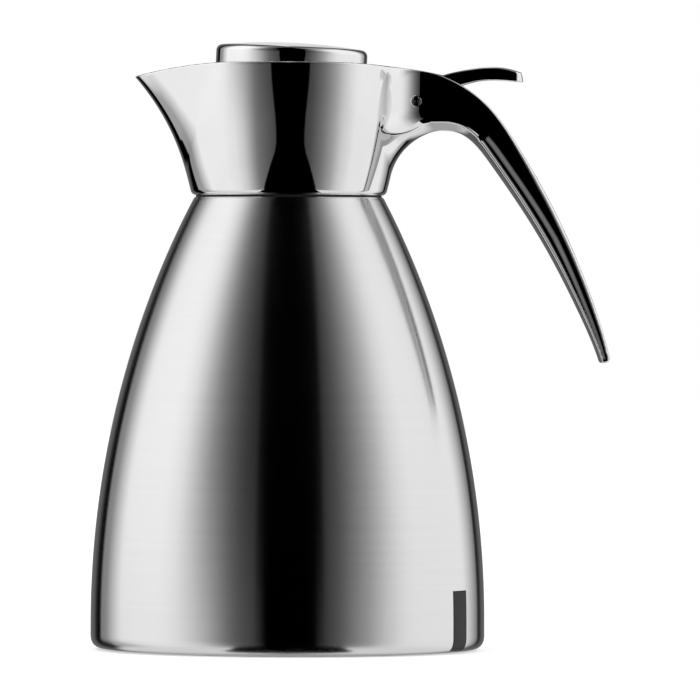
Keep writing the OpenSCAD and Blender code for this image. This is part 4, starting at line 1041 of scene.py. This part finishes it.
def build_lamp(name, place, size, power):
    """Soft area lamp that metal doesn't mirror, because the studio round it is in the world."""
    data = bpy.data.lights.new(name, "AREA")
    data.shape = "SQUARE"
    data.size = size
    data.energy = power
    lamp = bpy.data.objects.new(name, data)
    place_facing(lamp, place, LAMP_AIM)
    lamp.visible_glossy = False


def build_floor(half=4.0):
    """Pale floor: almost white, with a faint mottle, and white enough to fade into the backdrop."""
    mesh = bpy.data.meshes.new("floor")
    corners = [(-half, -half, 0), (half, -half, 0), (half, half, 0), (-half, half, 0)]
    mesh.from_pydata(corners, [], [(0, 1, 2, 3)])
    floor = bpy.data.objects.new("floor", mesh)
    bpy.context.collection.objects.link(floor)
    material = bpy.data.materials.new("pale_floor")
    material.use_nodes = True
    n = Nodes(material.node_tree)
    shader = material.node_tree.nodes["Principled BSDF"].inputs
    grey = n.span(n.noise(n.place(), 9.0, 3.0), 0.3, 0.7, 0.93, 0.95)
    tint = n.add("ShaderNodeCombineColor", {"Red": grey, "Green": grey, "Blue": grey}).outputs[0]
    n.link(tint, shader["Base Color"])
    shader["Roughness"].default_value = 0.9
    shader["Specular IOR Level"].default_value = 0.0
    shader["Emission Color"].default_value = WHITE
    lift = n.times(n.add("ShaderNodeLightPath").outputs["Is Camera Ray"], 0.35)
    n.link(lift, shader["Emission Strength"])
    mesh.materials.append(material)
    floor.visible_glossy = False


build_camera()
build_world()
for lamp_name, lamp_parts in LAMPS.items():
    build_lamp(lamp_name, *lamp_parts)
build_floor()


# ---------------------------------------------------------------- pieces

def around(middle, reach, step):
    """A close stretch of the sampling grid, on both sides of one place."""
    return ((middle - reach, middle + reach, step),)


def build_polished():
    """The head casting, meshed finer where the pin's ends show, and the lever."""
    step, fine = ((0.72, 0.3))
    near_pin = (around(HINGE_X, PIN_NEAR, fine), ((*PIN_END_Y, fine),),
                around(HINGE_Z + rim_drop(HINGE_X), PIN_NEAR, fine))
    points, faces, normals = field_mesh(head_field, (-57, -43, 102), (118.5, 43, 215), step,
                                        lambda x: -rim_drop(x), True, near_pin)
    add_piece("polished_head", points, faces, "carafe", "polished_metal", ("head_casting",),
              normals)
    points, faces, normals = field_mesh(lever_field, (-17, -17.5, 193.5), (86.5, 17.5, 212.8),
                                        0.42)
    add_piece("polished_lever", points, faces, "lid", "polished_metal", ("thumb_lever",), normals)


def build_turned():
    """Everything turned: body, flask, cap, deck, pin, spring and the two rings."""
    add_piece("brushed_body", *ring_body(turned(shell_outline(), 320)), "carafe", "brushed_shell",
              ("outer_shell",))
    add_piece("flask", *ring_body(turned(flask_outline(), 128)), "carafe", "inner_steel",
              ("inner_flask",))

    foot = [(CAP_R, 0.35), (CAP_R - 0.2, 0.05), (CAP_R - 0.9, 0.0), (CAP_R - 1.15, 0.15)]
    cap = np.vstack([cap_line(0.0), foot, cap_line(CAP_WALL)[::-1]]) + (0, CAP_Z)
    add_piece("domed_cap", *capped_body(turned(cap, 192, (CAP_X, 0.0), CAP_TILT, CAP_Z)), "lid",
              "polished_metal", ("lid_cap",))
    add_piece("basin_deck", *ring_body(deck_grid()), "carafe", "black_plastic", ("pour_deck",))

    end = PIN_L / 2
    dome = [(0.01, 0.0), (1.0, -0.01), (1.2, -0.03), (PIN_R - 0.02, -0.14)]
    pin = [(r, -end - lift) for r, lift in dome] + [(r, end + lift) for r, lift in dome[::-1]]
    add_piece("cross_pin", *capped_body(turned_y(pin, 48, (HINGE_X, HINGE_Z))), "carafe",
              "pin_steel", ("hinge_pin",))
    wind = [(HINGE_X * MM, side * WIND_HALF * MM, HINGE_Z * MM) for side in (-1, 1)]
    add_piece("torsion_spring", *capped_body(tube(spring_line(), WIRE / 2)),
              ("carafe", "lid", *wind), "spring_steel", ("return_spring",))

    gasket = softened([(FLANGE_HOLE_R, SHOULDER_Z), (GASKET_R, SHOULDER_Z), (GASKET_R, HEAD_Z),
                       (FLANGE_HOLE_R, HEAD_Z)], 0.12, 3)
    add_piece("gasket_ring", *ring_body(turned(gasket, 256)), "carafe", "black_rubber",
              ("head_gasket",))
    (r_in, r_out), (low, high) = SEAL_R, SEAL_Z
    seal = softened([(r_in, low), (r_out, low), (r_out, high), (r_in, high)], 0.6, 5)
    add_piece("soft_seal", *ring_body(turned(seal)), "lid", "clear_silicone", ("lid_seal",))


def build_painted_reflection_strip(cols=24, rows=40):
    """A painted dark reflection: a thin near-black sheet along the body's side, with an inner and
    an outer face.
    """
    a = np.radians(np.linspace(*REFLECTION_STRIP_TURN, cols)) - np.pi / 2
    z = np.linspace(*REFLECTION_STRIP_Z, rows)
    faces = []
    for lift in REFLECTION_STRIP_LIFT:
        r = side_radius(z)[:, None] + lift
        faces.append(np.stack([r * np.cos(a), r * np.sin(a), np.repeat(z[:, None], cols, 1)], -1))
    add_piece("bare_strip", *capped_body(np.concatenate([faces[0], faces[1][:, ::-1]], 1)),
              "carafe", "black_plastic", finish="bare_strip")


build_polished()
build_turned()
# The painted dark reflection on the body's side.
build_painted_reflection_strip()

slot_of = {part["node"]: part["material_slot"] for part in frame["record"]["subparts"]}
for node in frame["nodes"].values():
    if node.name in slot_of:
        for slot in node.material_slots:
            slot.material = FINISH[slot_of[node.name]]

bpy.context.scene.view_settings.view_transform = "Standard"
